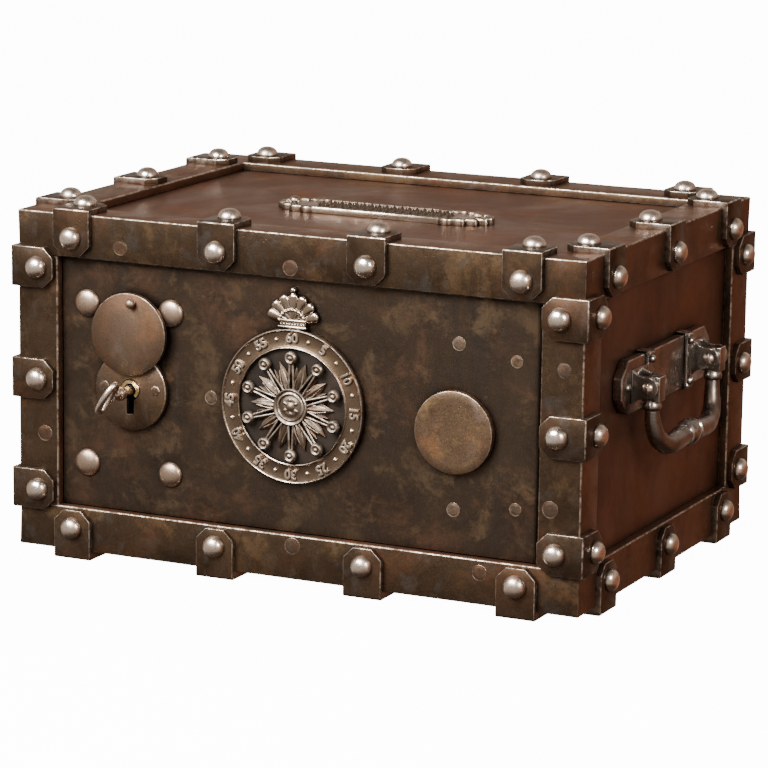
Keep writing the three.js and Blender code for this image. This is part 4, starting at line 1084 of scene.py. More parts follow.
# %% The bush
BUSH_RADIUS = 7.0
BUSH_BORE = 4.2
BUSH_FRONT = ESCUTCHEON_THICK + 0.8
BUSH_STEPS = 60
bush_open = math.asin(SLOT_HALF / BUSH_BORE)
bush_levels = [
    (BUSH_RADIUS, BUSH_BORE, 0.0),
    (BUSH_RADIUS, BUSH_BORE, BUSH_FRONT - 0.5),
    (BUSH_RADIUS - 0.5, BUSH_BORE + 0.4, BUSH_FRONT),
]
section = [(outer, h) for outer, _, h in bush_levels] + [(bore, h) for _, bore, h in reversed(bush_levels)]
bm = bmesh.new()
sections = []
for i in range(BUSH_STEPS + 1):
    a = bush_open + (2 * math.pi - 2 * bush_open) * i / BUSH_STEPS
    points = [Vector((math.sin(a) * r, -math.cos(a) * r, h)) for r, h in section]
    sections.append(ring_of(bm, [escutcheon_at @ p for p in points]))
skin(bm, sections)
place_piece("bush_collar", bm, bush_skin, "door", ["keyhole_bush"])

# %% [markdown]
# The cover swings on a pin near its rim. The pin is flush with the cover and of the same steel, so it only
# shows as a faint spot. The cover is drawn like the escutcheon, with rays, this time from the pin's axis.

# %% Cover and its pin
COVER_RADIUS = 28.5
COVER_THICK = 3.0
PIVOT_RADIUS = 2.5
PIVOT_COLLAR = 5.0
PIVOT_PLAY = 0.12
cover_centre = middle_of("keyhole_cover")
cover_back = level("keyhole_cover", 1, 1)
pivot = middle_of("cover_pivot_pin")
lever = Vector((cover_centre.x - pivot.x, cover_centre.z - pivot.z))
pivot_at = facing(pivot.x, cover_back, pivot.z, "-y")


def cover_reach(a):
    """From the pin's axis to the rim, whose middle is a lever's length away."""
    along = lever.dot(Vector((math.sin(a), -math.cos(a))))
    return along + math.sqrt(COVER_RADIUS**2 - lever.length_squared + along**2)


def bore_reach(a):
    return PIVOT_RADIUS + PIVOT_PLAY


cover_steps = [(0, 0, 0), (0, 0, COVER_THICK - 0.6), (0.18, 0, COVER_THICK - 0.18), (0.6, 0, COVER_THICK)]
bm = bmesh.new()
pierced_disc(bm, cover_reach, bore_reach, around(160), cover_steps, pivot_at)
place_piece("cover_disc", bm, disc_skin, "cover", ["keyhole_cover"])

pin_root = level("cover_pivot_pin", 1, 1) - cover_back
pin_profile = [
    (0, COVER_THICK), (PIVOT_RADIUS - 0.04, COVER_THICK), (PIVOT_RADIUS, COVER_THICK - 0.04),
    (PIVOT_RADIUS, -0.3), (PIVOT_COLLAR, -0.3), (PIVOT_COLLAR, -0.9), (PIVOT_RADIUS, -0.9),
    (PIVOT_RADIUS, -pin_root), (0, -pin_root),
]
bm = bmesh.new()
turned(bm, pin_profile, pivot_at, 28)
place_piece("cover_pivot", bm, disc_skin, "door", ["cover_pivot_pin"])
print(f"cover lever {lever.length:.1f} mm")

# %% [markdown]
# A small ball on a waisted foot is the cover's knob. The blind disc on the right of the door has no hole,
# so it is simply turned. It is more spotted than the others and gets a finish of its own.

# %% Knob and blind disc
KNOB_RADIUS = 3.4
KNOB_STEPS = 12
BLIND_RADIUS = 28.0
BLIND_THICK = 5.2
BLIND_SHANK = 4.0
BLIND_ROOT = -7.0
knob = middle_of("cover_knob")
knob_profile = [(0, 6.0)]
for k in range(1, KNOB_STEPS):
    turn = k / KNOB_STEPS * math.pi
    knob_profile.append((KNOB_RADIUS * math.sin(turn), 3.1 + 2.9 * math.cos(turn)))
knob_profile += [(1.9, 0.6), (2.3, 0.0), (1.3, -0.2), (0, -0.2)]
bm = bmesh.new()
turned(bm, knob_profile, facing(knob.x, cover_back - COVER_THICK, knob.z, "-y"), 24)
place_piece("cover_knob_ball", bm, stud_skin, "cover", ["cover_knob"])

blind = middle_of("blind_disc")
blind_profile = [
    (0, BLIND_THICK), (BLIND_RADIUS - 6, BLIND_THICK), (BLIND_RADIUS - 0.6, BLIND_THICK),
    (BLIND_RADIUS - 0.18, BLIND_THICK - 0.18), (BLIND_RADIUS, BLIND_THICK - 0.6), (BLIND_RADIUS, 0),
    (BLIND_SHANK, 0), (BLIND_SHANK, BLIND_ROOT), (0, BLIND_ROOT),
]
bm = bmesh.new()
turned(bm, blind_profile, facing(blind.x, door_seat, blind.z, "-y"), 120)
blind_skin = worn_metal(
    "mottled_steel", (0.115, 0.072, 0.044), (0.27, 0.19, 0.13), (0.8, 0.68, 0.56),
    rust=(0.22, 0.095, 0.042), ochre=(0.3, 0.205, 0.105), slate=(0.26, 0.2, 0.175), rust_share=0.6,
    ochre_share=0.65, slate_share=0.6, cloud_scale=55.0, shine=0.36, wear=0.9, wear_width=0.4, painted_shade=0.6,
    pitting=0.9, waves=0.1, metal=1.0, brushed=0.04, streaks=(0.6, 1, 0.6), stains=2.0,
)
place_piece("blind_disc_face", bm, blind_skin, "door", ["blind_disc"])

# %% [markdown]
# ## The key
# The key stands in the lock, turned a little past the slot. Its stem has a rounded collar, the bow is an
# oval ring of round wire and the bit is sawn from plate with two notches. A curve object could make the bow.
# All three are drawn upright about the key's own axis, in one mesh, and then turned as a whole.

# %% Forge the key
KEY_LEAN = math.radians(32)
BOW_OUT = 31.9
BOW_HALF_WIDTH = 5.5
BOW_HALF_HEIGHT = 11.6
BOW_WIRE = 2.3
BIT_HALF = 1.6
BIT_ROOT = -2.0
BIT_NOTCH = -10.0
BIT_TIP = -16.3
key_at = Matrix.Translation((KEY_X, escutcheon_front, KEY_Z)) @ Matrix.Rotation(KEY_LEAN, 4, "Y")
stem_at = key_at @ facing(0, 0, 0, "-y")
stem_end = level("lock_bolt", 1, 1) - escutcheon_front
stem_profile = [
    (0, -stem_end), (2.8, -stem_end), (3.2, -stem_end + 0.6), (3.2, 9.6), (3.5, 10.6), (4.3, 11.6),
    (4.8, 13.0),
    (4.9, 14.6), (4.6, 16.0), (3.9, 17.2), (3.1, 18.2), (2.75, 19.6), (2.7, 22.0), (3.0, 24.6), (3.0, 26.6),
    (0, 27.4),
]
bm = bmesh.new()
turned(bm, stem_profile, stem_at, 32)
bow_path = []
for a in around(56):
    ahead = -BOW_OUT + BOW_HALF_WIDTH * math.sin(a)
    bow_path.append(key_at @ Vector((0, ahead, BOW_HALF_HEIGHT * math.cos(a))))
drawn(bm, bow_path, lambda t: BOW_WIRE, 18, closed=True)

# From the back: three teeth with two notches between them, each as (from, to) along the stem.
bit_outline = []
for start, end in ((0.0, 2.4), (3.6, 6.0), (7.0, 9.0)):
    first = BIT_ROOT if start == 0 else BIT_NOTCH
    last = BIT_ROOT if end == 9 else BIT_NOTCH
    bit_outline += [(start, first), (start, BIT_TIP), (end, BIT_TIP), (end, last)]
bit_back = stem_end - 0.5
bit = bmesh.new()
along_and_down = Matrix(((0, 0, 1, 0), (1, 0, 0, 0), (0, 1, 0, 0), (0, 0, 0, 1)))
sawn(bit, [(bit_back - y, z) for y, z in bit_outline], -BIT_HALF, BIT_HALF, key_at @ along_and_down)
joined(bm, bit, 0.3, 1)
place_piece("key_forged", bm, key_skin, "key", ["key"])

# %% [markdown]
# ## The badge
# A cast ring with a rosette inside it. The ring carries the plain numbers of a dial, five to sixty, with
# a dot between each. The ring is turned and the numbers are text objects with a depth. A Curve modifier
# could bend one long line of text, but setting each number by itself keeps its shape. The rosette repeats
# a wide leaf, four narrow ones and a ball-tipped stem ten times.

# %% Turn the ring and its dark floor
BADGE_RADIUS = 53.0
BADGE_INNER = 39.5
BADGE_HEIGHT = 4.5
BAND = BADGE_HEIGHT - 1.1
FLOOR = 1.2
badge = middle_of("badge_dish")
badge_at = facing(badge.x, door_seat, badge.z, "-y")
outer_lip = [
    (-0.2, 0), (0, 0.6), (0, BADGE_HEIGHT - 0.8), (-0.4, BADGE_HEIGHT - 0.15), (-1.0, BADGE_HEIGHT),
    (-1.5, BADGE_HEIGHT - 0.25), (-1.9, BAND + 0.1), (-2.2, BAND),
]
inner_lip = [
    (1.9, BAND), (1.5, BAND + 0.2), (1.1, BADGE_HEIGHT - 0.3), (0.6, BADGE_HEIGHT - 0.1),
    (0.1, BADGE_HEIGHT - 0.5), (0, BADGE_HEIGHT - 1.2),
]
ring_profile = [(BADGE_INNER, 0.3)]
ring_profile += [(BADGE_RADIUS + r, h) for r, h in outer_lip]
ring_profile += [(BADGE_INNER + r, h) for r, h in inner_lip]
bm = bmesh.new()
turned(bm, ring_profile, badge_at, 128)
place_piece("badge_ring", bm, cast_skin, "door", ["badge_dish"])
# The field inside the ring is a near-black disc: painted shade.
bm = bmesh.new()
turned(bm, [(0, FLOOR), (BADGE_INNER + 0.2, FLOOR), (BADGE_INNER + 0.2, 0.25), (0, 0.25)], badge_at, 96)
place_piece("badge_floor", bm, field_shade_skin, "door")

# %% Raise the numbers
NUMBER_CIRCLE = 46.3
NUMBER_SIZE = 9.0
NUMBER_DEPTH = 1.1
on_circle = Matrix.Translation((0, NUMBER_CIRCLE, BAND))
relief_skin = worn_metal(
    "polished_relief", (0.27, 0.205, 0.15), (0.5, 0.405, 0.32), (0.95, 0.88, 0.8), rust_share=0.2,
    ochre_share=0.1, slate_share=0.1, cloud_scale=60.0, shine=0.24, wear=1.0, wear_width=0.5, painted_shade=0.85,
    pitting=0.15, waves=0.04, metal=1.0,
)
# The numbers are lighter than the ring: partly worn bright, partly a painted highlight.
number_skin = worn_metal(
    "bright_number", (0.46, 0.37, 0.29), (0.78, 0.68, 0.57), (0.95, 0.88, 0.8), rust_share=0.2,
    ochre_share=0.1, slate_share=0.1, cloud_scale=90.0, shine=0.3, wear=1.0, wear_width=0.3, painted_shade=0.25,
    painted_shade_reach=1.5, pitting=0.1, waves=0.05, metal=1.0,
)


def raised_text(bm, words, size, depth, placed):
    """Adds text to the bmesh, centred on its place and standing out along local Z."""
    curve = bpy.data.curves.new("word", "FONT")
    curve.body = words
    curve.size = size
    curve.align_x = "CENTER"
    curve.align_y = "CENTER"
    curve.extrude = depth / 2
    curve.offset = 0.12
    curve.bevel_depth = 0.25
    curve.bevel_resolution = 1
    curve.resolution_u = 4
    holder = show("word", curve)
    bpy.context.view_layer.update()
    evaluated = holder.evaluated_get(bpy.context.evaluated_depsgraph_get())
    mesh = bpy.data.meshes.new_from_object(evaluated)
    bpy.data.objects.remove(holder)
    mesh.transform(placed @ Matrix.Translation((0, 0, depth / 2)))
    bm.from_mesh(mesh)
    bpy.data.meshes.remove(mesh)


bm = bmesh.new()
for k in range(12):
    a = math.radians(30 * (k + 1))
    outward = badge_at @ Matrix.Rotation(-a, 4, "Z") @ on_circle
    raised_text(bm, str(5 * (k + 1)), NUMBER_SIZE, NUMBER_DEPTH, outward)
    between = badge_at @ Matrix.Rotation(math.radians(15) - a, 4, "Z") @ on_circle
    turned(bm, [(0, 1.4), (0.8, 1.2), (1.35, 0.6), (1.5, -0.1), (0, -0.1)], between, 14)
place_piece("badge_numbers", bm, number_skin, "door")

# %% A leaf with a ridge


def ridged_leaf(bm, placed, half_outline, ridge, shoulder):
    """Symmetric about local Y: half its outline as (width, length), its ridge as (length, height)."""
    left = [(-w, y) for w, y in half_outline]
    right = [(w, y) for w, y in reversed(half_outline) if w > TINY]
    rim = ring_of(bm, [placed @ Vector((x, y, 0)) for x, y in left + right])
    lip = ring_of(bm, [placed @ Vector((x * 0.97, y, shoulder)) for x, y in left + right])
    spine = ring_of(bm, [placed @ Vector((0, y, h)) for y, h in ridge])
    bridge(bm, rim, lip)
    bm.faces.new(rim)
    count = len(half_outline)
    tip = count - 1
    other = [lip[-i] for i in range(1, count)] + [lip[tip]]
    for edge in (lip[:count], other):
        for i in range(count - 1):
            low_end = spine[min(i, len(spine) - 1)]
            high_end = spine[min(i + 1, len(spine) - 1)]
            face_of(bm, [edge[i], edge[i + 1], high_end, low_end])
    bm.faces.new([lip[0], spine[0], other[0]])


# %% Raise the rosette
LEAVES = 10
PETALS = 6
BALL_CIRCLE = 33.5
WIDE_LEAF = [(2.6, 10.5), (4.0, 15.5), (4.7, 20.0), (2.7, 25.5), (0, 31.0)]
WIDE_RIDGE = [(10.5, 3.9), (15.5, 4.1), (20.0, 4.0), (25.5, 3.0)]
VEIN = ((1.8, 12, 2.6), (2.4, 18, 2.8), (1.1, 26, 2.2))
NARROW_LEAVES = ((-12, 24.5, 2.3), (12, 24.5, 2.3), (-6, 27.5, 2.6), (6, 27.5, 2.6))
hub_profile = [
    (0, 5.4), (1.6, 5.2), (2.8, 4.4), (3.6, 3.9), (4.8, 4.2), (6.0, 4.0), (7.0, 3.3), (8.0, 3.3), (8.5, 4.4),
    (9.0, 4.9), (9.7, 4.8), (10.2, 4.2), (10.7, 4.3), (11.2, 5.0), (11.9, 5.2), (12.5, 4.6), (12.7, 3.2),
    (12.7, 0), (3.0, 0), (3.0, -7.2), (0, -7.2),
]
petal_profile = [(0, 1.5), (0.8, 1.2), (1.35, 0.5), (1.5, -0.2), (0, -0.2)]
ball_profile = [
    (0, 6.6), (0.9, 6.5), (1.5, 6.0), (1.8, 5.4), (2.4, 5.7), (3.2, 5.9), (4.1, 5.2), (4.6, 3.8), (4.5, 2.4),
    (3.9, 1.0), (2.8, 0.0), (0, 0),
]
rosette_at = facing(badge.x, door_seat - FLOOR - GAP, badge.z, "-y")
bm = bmesh.new()
turned(bm, hub_profile, rosette_at, 72)
for k in range(PETALS):
    petal = rosette_at @ Matrix.Rotation(k * 2 * math.pi / PETALS, 4, "Z") @ Matrix.Translation((0, 4.6, 3.6))
    turned(bm, petal_profile, petal @ Matrix.Diagonal((1, 1.35, 1, 1)), 12)
for k in range(LEAVES):
    spin = rosette_at @ Matrix.Rotation((k + 0.5) * 2 * math.pi / LEAVES, 4, "Z")
    ridged_leaf(bm, spin, WIDE_LEAF, WIDE_RIDGE, 1.3)
    for side in (-1, 1):
        drawn(bm, [spin @ Vector((side * w, y, h)) for w, y, h in VEIN], lambda t: 0.5, 8)
    half = rosette_at @ Matrix.Rotation(k * 2 * math.pi / LEAVES, 4, "Z")
    for aside, reach, high in NARROW_LEAVES:
        tip = half @ Matrix.Rotation(math.radians(aside), 4, "Z")
        outline = [(1.4, 14), (2.3, reach - 6), (0, reach)]
        ridged_leaf(bm, tip, outline, [(14, high), (reach - 6, high)], 0.9)
    for aside in (-1, 1):
        rail = [half @ Vector((aside * 1.9, 10.5, 3.0)), half @ Vector((aside * 1.0, 30.5, 3.1))]
        drawn(bm, rail, lambda t: 0.85, 12)
    turned(bm, ball_profile, half @ Matrix.Translation((0, BALL_CIRCLE, 0)), 24)
rosette_skin = worn_metal(
    "browned_rosette", (0.088, 0.064, 0.047), (0.17, 0.132, 0.099), (0.8, 0.71, 0.62), rust_share=0.25,
    ochre_share=0.15, slate_share=0.2, cloud_scale=60.0, shine=0.47, wear=0.8, wear_width=0.6, painted_shade=0.88,
    painted_shade_reach=5.0, pitting=0.2, waves=0.05, metal=1.0,
)
rosette_middle = rosette_at.translation


def rubbed_rosette(face):
    """The ball tips stand out furthest and are rubbed most, then the rings of the hub."""
    reach = (face.calc_center_median() - rosette_middle).length
    return 0.5 if reach > 28.6 else 0.2 if reach < 13.5 else 0.0


place_piece(
    "badge_rosette_cast", bm, rosette_skin, "door", ["badge_rosette"], sharp=48, polish_and_highlight=rubbed_rosette,
)

# %% [markdown]
# Over the ring sits a crest, a plain scallop shell: seven puffed lobes that fan out of a moulded foot, with
# a row of beads and a small ball on top. Sculpting would do it too, but a lobe follows a simple rule, so
# its rings are computed and each lobe is the same one, leaned over.

# %% Raise the crest
CREST_WIDTH = 40.0
CREST_FAN = math.radians(74)
CREST_FOOT = 5.6
CREST_DEPTH = 4.4
LOBES = 7
LOBE_STEPS = 16
LOBE_SIDES = 18
BEADS = 11
FOOT_STEPS = ((10.8, 0.0, 1.5, 4.3), (9.6, 1.3, 4.0, 3.3), (10.4, 3.9, 6.0, 4.4))
crest_low = level("badge_crest", 2, 0)
crest_tall = level("badge_crest", 2, 1) - crest_low
crest_at = facing(badge.x, door_seat, crest_low, "-y")
fan = crest_at @ Matrix.Translation((0, CREST_FOOT * 0.7, CREST_DEPTH * 0.55))
lobe_reach = CREST_WIDTH / 2 / math.sin(CREST_FAN) - 0.9


def puffed_lobe(bm, lobe):
    """A lobe along local Y, widest near its round end, with a crease down its front."""
    rings = [ring_of(bm, [lobe.translation])]
    for i in range(1, LOBE_STEPS):
        t = i / LOBE_STEPS
        wide = 0.235 * lobe_reach * t * max(0.0, 1 - t**9) ** 0.5
        ring = []
        for a in around(LOBE_SIDES):
            out = CREST_DEPTH * 0.46 * math.sin(a) * (wide / 4.0) ** 0.6
            crease = 1 - 0.22 * math.exp(-((math.cos(a) / 0.13) ** 2)) * (math.sin(a) > 0)
            ring.append(lobe @ Vector((wide * math.cos(a), lobe_reach * t, out * crease)))
        rings.append(ring_of(bm, ring))
    rings.append(ring_of(bm, [lobe @ Vector((0, lobe_reach, 0))]))
    skin(bm, rings)


bm = bmesh.new()
for half_width, low, high, out in FOOT_STEPS:
    part = bmesh.new()
    slab(part, (-half_width, low, 0), (half_width, high, out), crest_at)
    joined(bm, part, 0.6, 3)
for k in range(9):
    stone = crest_at @ Matrix.Translation((-8.4 + 2.1 * k, 2.65, 3.1))
    turned(bm, [(0, 0.9), (0.5, 0.75), (0.8, 0.2), (0.85, -0.3), (0, -0.3)], stone, 10)
for k in range(LOBES):
    lean = (2 * k / (LOBES - 1) - 1) * CREST_FAN
    puffed_lobe(bm, fan @ Matrix.Rotation(-lean, 4, "Z"))
for k in range(BEADS):
    a = math.radians(-80 + 16 * k)
    bead = fan @ Matrix.Translation((9.6 * math.sin(a), 8.6 * math.cos(a), 1.6))
    turned(bm, [(0, 1.3), (0.8, 1.1), (1.3, 0.4), (1.4, -0.3), (0, -0.6)], bead, 12)
ball = crest_at @ Matrix.Translation((0, crest_tall - 2.25, 2.3))
turned(bm, [(0, 2.2), (1.2, 1.85), (1.9, 1.1), (2.2, 0), (1.9, -1.1), (1.2, -1.85), (0, -2.2)], ball, 20)
collar = crest_at @ Matrix.Translation((0, crest_tall - 5.2, 2.3))
collar = collar @ Matrix.Rotation(math.radians(-90), 4, "X")
turned(bm, [(0, -1.2), (1.5, -1.0), (2.0, 0), (1.5, 1.0), (0, 1.2)], collar, 18)
place_piece("badge_crest_shell", bm, relief_skin, "door", ["badge_crest"], sharp=50)

# %% [markdown]
# ## The name plate on the top
# A cast plate with scalloped ends and a raised rim. Rows of small raised lozenges fill the field between
# two fillets. The rim could come from a Bevel modifier, but the scallops are tight, so the outline is
# drawn in step by step and the loops are bridged.

# %% Cast the name plate
plate_middle = middle_of("nameplate")
plate_seat = level("nameplate", 2, 0)
PLATE_LENGTH = 164.0
PLATE_WIDTH = 40.0
PLATE_THICK = 4.5
SCALLOPS = 9
SCALLOP_DEPTH = 2.2
END_LENGTH = 34.0
FIELD = PLATE_THICK - 1.3
FILLET = 13.2
LOZENGE_STEP = 5.8
LOZENGE_HALF = 2.2
LOZENGE_HIGH = 2.6
LOZENGE_ROWS = ((8.6, 16, 2.9), (2.6, 18, 2.9), (-3.4, 18, 2.9), (-9.0, 16, 2.6))


def plate_outline(inset, steps=8):
    """Straight long sides and round ends whose edge swings in and out, drawn in by an inset."""
    straight = PLATE_LENGTH / 2 - END_LENGTH
    half = PLATE_WIDTH / 2
    points = []
    for side in (1, -1):
        for i in range(SCALLOPS * steps + 1):
            turn = (-0.5 + i / (SCALLOPS * steps)) * math.pi
            wave = 1 - SCALLOP_DEPTH / half * (1 - abs(math.sin(i / steps * math.pi)))
            x = straight + (END_LENGTH * wave - inset) * math.cos(turn)
            y = (half * wave - inset) * math.sin(turn)
            points.append((side * x, side * y))
    return points


plate_at = facing(plate_middle.x, plate_middle.y, plate_seat, "z")
rim_steps = [
    (0, 0), (0, PLATE_THICK - 1.4), (0.4, PLATE_THICK - 0.5), (1.2, PLATE_THICK), (2.6, PLATE_THICK),
    (3.2, PLATE_THICK - 0.4), (3.6, FIELD),
]
bm = bmesh.new()
loops = []
for inset, h in rim_steps:
    loops.append(ring_of(bm, [plate_at @ Vector((x, y, h)) for x, y in plate_outline(inset)]))
skin(bm, loops)
for sign in (-1, 1):
    line = [plate_at @ Vector((x, sign * FILLET, FIELD + 0.1)) for x in (-46, -15, 15, 46)]
    drawn(bm, line, lambda t: 0.9, 10)
for row, count, tall in LOZENGE_ROWS:
    for k in range(count):
        x = (k - (count - 1) / 2) * LOZENGE_STEP
        lozenge = [(-LOZENGE_HALF, 0), (0, -tall), (LOZENGE_HALF, 0), (0, tall)]
        rim = ring_of(bm, [plate_at @ Vector((x + a, row + b, FIELD - 0.05)) for a, b in lozenge])
        apex = ring_of(bm, [plate_at @ Vector((x, row, FIELD + LOZENGE_HIGH))])
        bridge(bm, rim, apex)
        bm.faces.new(rim)
plate_cast_skin = worn_metal(
    "browned_plate", (0.115, 0.084, 0.061), (0.23, 0.18, 0.137), (0.72, 0.64, 0.56), rust_share=0.25,
    ochre_share=0.1, slate_share=0.2, cloud_scale=60.0, shine=0.3, wear=0.8, wear_width=0.5, painted_shade=0.85,
    pitting=0.2, waves=0.05, metal=1.0,
)
place_piece("nameplate_cast", bm, plate_cast_skin, "body", ["nameplate"], sharp=30)
for side in ("left", "right"):
    middle = middle_of(f"nameplate_rivet_{side}")
    profile = dome(4.0, 3.0, 7, 0.85) + [(2.0, 0.0), (2.0, -PLATE_THICK), (0, -PLATE_THICK)]
    bm = bmesh.new()
    turned(bm, profile, facing(middle.x, middle.y, plate_seat + PLATE_THICK + GAP, "z"), 28)
    place_piece(f"nameplate_rivet_{side}_head", bm, stud_skin, "body", [f"nameplate_rivet_{side}"])

# %% [markdown]
# ## Side handles
# Each handle is a bail that swings in two forked brackets on a chamfered plate. The bail's arms end in
# square blocks whose inner side is round, so it swings freely until their outer corners meet the foot of
# the bracket. Both handles are the same casting, turned by half a turn. A Mirror modifier would also make
# the second one, but its pieces ride on other bodies, so a function builds each handle by itself.

# %% Sizes of the handle
HANDLE_Y = -4.3
HANDLE_Z = 138.5
BACK_HALF = 82.0
BACK_TALL = 18.5
BACK_THICK = 6.8
BACK_CHAMFER = 11.0
ARM = 57.5
FOOT = BACK_THICK + 2 * GAP
FOOT_THICK = 1.4
FOOT_TALL = 11.5
TAB_INSET = 21.0
TAB_HALF = 4.5
TAB_THICK = 2.0
HOOK = 1.6
PIN_OUT = 19.0
EAR_RADIUS = 7.4
EAR_THICK = 3.5
EAR_GAP = 0.4
BLOCK_HALF = 5.5
BLOCK_UP = 7.4
BLOCK_DOWN = 9.6
BLOCK_OUT = 7.2
BLOCK_IN = 5.6
BAIL_DROP = 41.6
BAIL_BOW = 4.6
BAIL_THIN = 4.4
BAIL_THICK = 7.2
panel_out = level("right_plate", 0, 1)


def upright(point_x, point_y):
    """Local X out from the plate, local Y up, local Z along the box, for outlines seen from the front."""
    return Matrix(((1, 0, 0, point_x), (0, 0, -1, point_y), (0, 1, 0, 0), (0, 0, 0, 1)))


def sweep_in(start, bend, end, steps=8):
    """Points of a quadratic curve, without its last one."""
    points = []
    for k in range(steps):
        t = k / steps
        weights = ((1 - t) ** 2, 2 * t * (1 - t), t * t)
        points.append(tuple(sum(w * v for w, v in zip(weights, values)) for values in zip(start, bend, end)))
    return points


def ear_outline(steps=18):
    """A tongue seen from the front: wide at its root, swept in to a waist and round about the pin."""
    waist = FOOT + (PIN_OUT - FOOT) * 0.35
    points = sweep_in((FOOT + 0.4, -FOOT_TALL), (waist, -EAR_RADIUS), (PIN_OUT, -EAR_RADIUS))
    for k in range(steps + 1):
        a = -math.pi / 2 + math.pi * k / steps
        points.append((PIN_OUT + EAR_RADIUS * math.cos(a), EAR_RADIUS * math.sin(a)))
    upper = sweep_in((FOOT + 0.4, FOOT_TALL), (waist, EAR_RADIUS), (PIN_OUT, EAR_RADIUS))
    return points + upper[:0:-1] + [upper[0]]


print(f"handles at {HANDLE_Z} mm up, {2 * ARM} mm between the arms")

# %% The line of the bail


def bail_line(steps=8):
    """Centreline of the bail: a smooth curve through knots, straight at both ends."""
    low = -BAIL_DROP - 1.4
    knots = [
        Vector((0, -ARM, -BLOCK_DOWN - 4.9)), Vector((BAIL_BOW * 0.1, -ARM + 1.5, low * 0.58)),
        Vector((BAIL_BOW * 0.45, -ARM + 5.9, low * 0.83)), Vector((BAIL_BOW * 0.8, -ARM + 16.5, low * 0.98)),
        Vector((BAIL_BOW, -ARM / 2, low)), Vector((BAIL_BOW, 0, -BAIL_DROP)),
    ]
    knots += [Vector((k.x, -k.y, k.z)) for k in knots[-2::-1]]
    knots = [k + Vector((PIN_OUT, 0, 0)) for k in knots]
    above = Vector((0, 0, 6))
    knots = [knots[0] + above] + knots + [knots[-1] + above]
    points = []
    for before, start, end, after in zip(knots, knots[1:], knots[2:], knots[3:]):
        pull = end - before
        bend = 2 * before - 5 * start + 4 * end - after
        twist = 3 * start - before - 3 * end + after
        for k in range(steps):
            t = k / steps
            points.append(0.5 * (2 * start + pull * t + bend * t * t + twist * t**3))
    return points + [knots[-2]]


def bail_radius(t):
    return BAIL_THIN + (BAIL_THICK - BAIL_THIN) * max(0.0, math.sin(math.pi * t)) ** 0.8


def bail_wear_and_highlight(face):
    """The bead and the collars are where hands polish the bail; what faces up, such as the tops of the blocks,
    gets a painted highlight.
    """
    middle = face.calc_center_median()
    along = abs(middle.y - HANDLE_Y)
    up = middle.z - HANDLE_Z
    if along < 9 or -BLOCK_DOWN - 7.1 < up < -BLOCK_DOWN or face.normal.z > 0.9:
        return 0.5
    return 0.0


# Faces of a fork that look up get a painted highlight.
def fork_top_highlight(face):
    return 0.95 if face.normal.z > 0.4 else 0.0


# %% The plate, the forks and the bail
small_stud = [(0, 2.4), (1.3, 2.2), (2.3, 1.5), (2.9, 0.5), (3.0, -0.2), (0, -0.2)]
tab_stud = [(0, 3.6), (1.4, 3.35), (2.4, 2.4), (2.9, 1.2), (2.5, 0.2), (2.3, -0.2), (0, -0.2)]
bead_profile = [
    (0, -9.0), (6.6, -9.0), (7.9, -8.6), (8.3, -8.0), (8.3, -7.6), (7.8, -7.1), (7.3, -6.7), (7.35, -6.2),
    (8.1, -4.9), (8.7, -3.0), (9.0, -1.0), (9.0, 1.0), (8.7, 3.0), (8.1, 4.9), (7.35, 6.2), (7.3, 6.7),
    (7.8, 7.1), (8.3, 7.6), (8.3, 8.0), (7.9, 8.6), (6.6, 9.0), (0, 9.0),
]
collar_profile = [
    (0, 0), (4.4, 0), (4.9, 0.5), (6.0, 1.3), (6.5, 2.7), (6.5, 4.0), (6.0, 5.3), (5.6, 6.2), (5.6, 8),
    (0, 8),
]


def handle_back(bm, at_side):
    """The backing plate: a long octagon with a stud near each end."""
    flat = BACK_HALF - BACK_CHAMFER
    rise = BACK_TALL - BACK_CHAMFER
    outline = [
        (-BACK_HALF, -rise), (-flat, -BACK_TALL), (flat, -BACK_TALL), (BACK_HALF, -rise),
        (BACK_HALF, rise), (flat, BACK_TALL), (-flat, BACK_TALL), (-BACK_HALF, rise),
    ]
    part = bmesh.new()
    sawn(part, outline, GAP, GAP + BACK_THICK, at_side @ facing(0, 0, 0, "x"))
    joined(bm, part, 1.0, 2)
    for way in (-1, 1):
        stud_at = facing(GAP + BACK_THICK, way * (BACK_HALF - 9.9), 0, "x")
        turned(bm, small_stud, at_side @ stud_at, 20)


def fork(bm, at_side, way):
    """A bracket at one arm: its foot, a tab that hooks over the plate and two ears for the pin."""
    arm = way * ARM
    tab = arm - way * TAB_INSET
    side_view = at_side @ upright(0, 0)
    span = sorted((arm + way * (BLOCK_HALF + EAR_GAP + EAR_THICK), tab))
    part = bmesh.new()
    slab(part, (FOOT, span[0], -FOOT_TALL), (FOOT + FOOT_THICK, span[1], FOOT_TALL), at_side)
    joined(bm, part, 0.4)
    # The tab laps over the plate's two long edges, so its outline seen from the front is a flat hook.
    reach = BACK_TALL + GAP + HOOK
    front = FOOT + TAB_THICK
    upper = [
        (GAP, reach), (front - 2.2, reach), (front + 1.0, reach - 1.6), (front + 1.3, reach - 3.2),
        (front, reach - 5.0),
    ]
    inside = [(GAP, -reach + HOOK), (FOOT, -reach + HOOK), (FOOT, reach - HOOK), (GAP, reach - HOOK)]
    hook = upper + [(x, -y) for x, y in reversed(upper)] + inside
    part = bmesh.new()
    sawn(part, hook, -tab - TAB_HALF, -tab + TAB_HALF, side_view)
    joined(bm, part, 0.55, 3)
    for sign in (-1, 1):
        ear = -(arm + sign * (BLOCK_HALF + EAR_GAP + EAR_THICK / 2))
        part = bmesh.new()
        sawn(part, ear_outline(), ear - EAR_THICK / 2, ear + EAR_THICK / 2, side_view)
        joined(bm, part, 0.75, 3)
        turned(bm, tab_stud, at_side @ facing(front, tab, sign * (BACK_TALL - 4.5), "x"), 20)


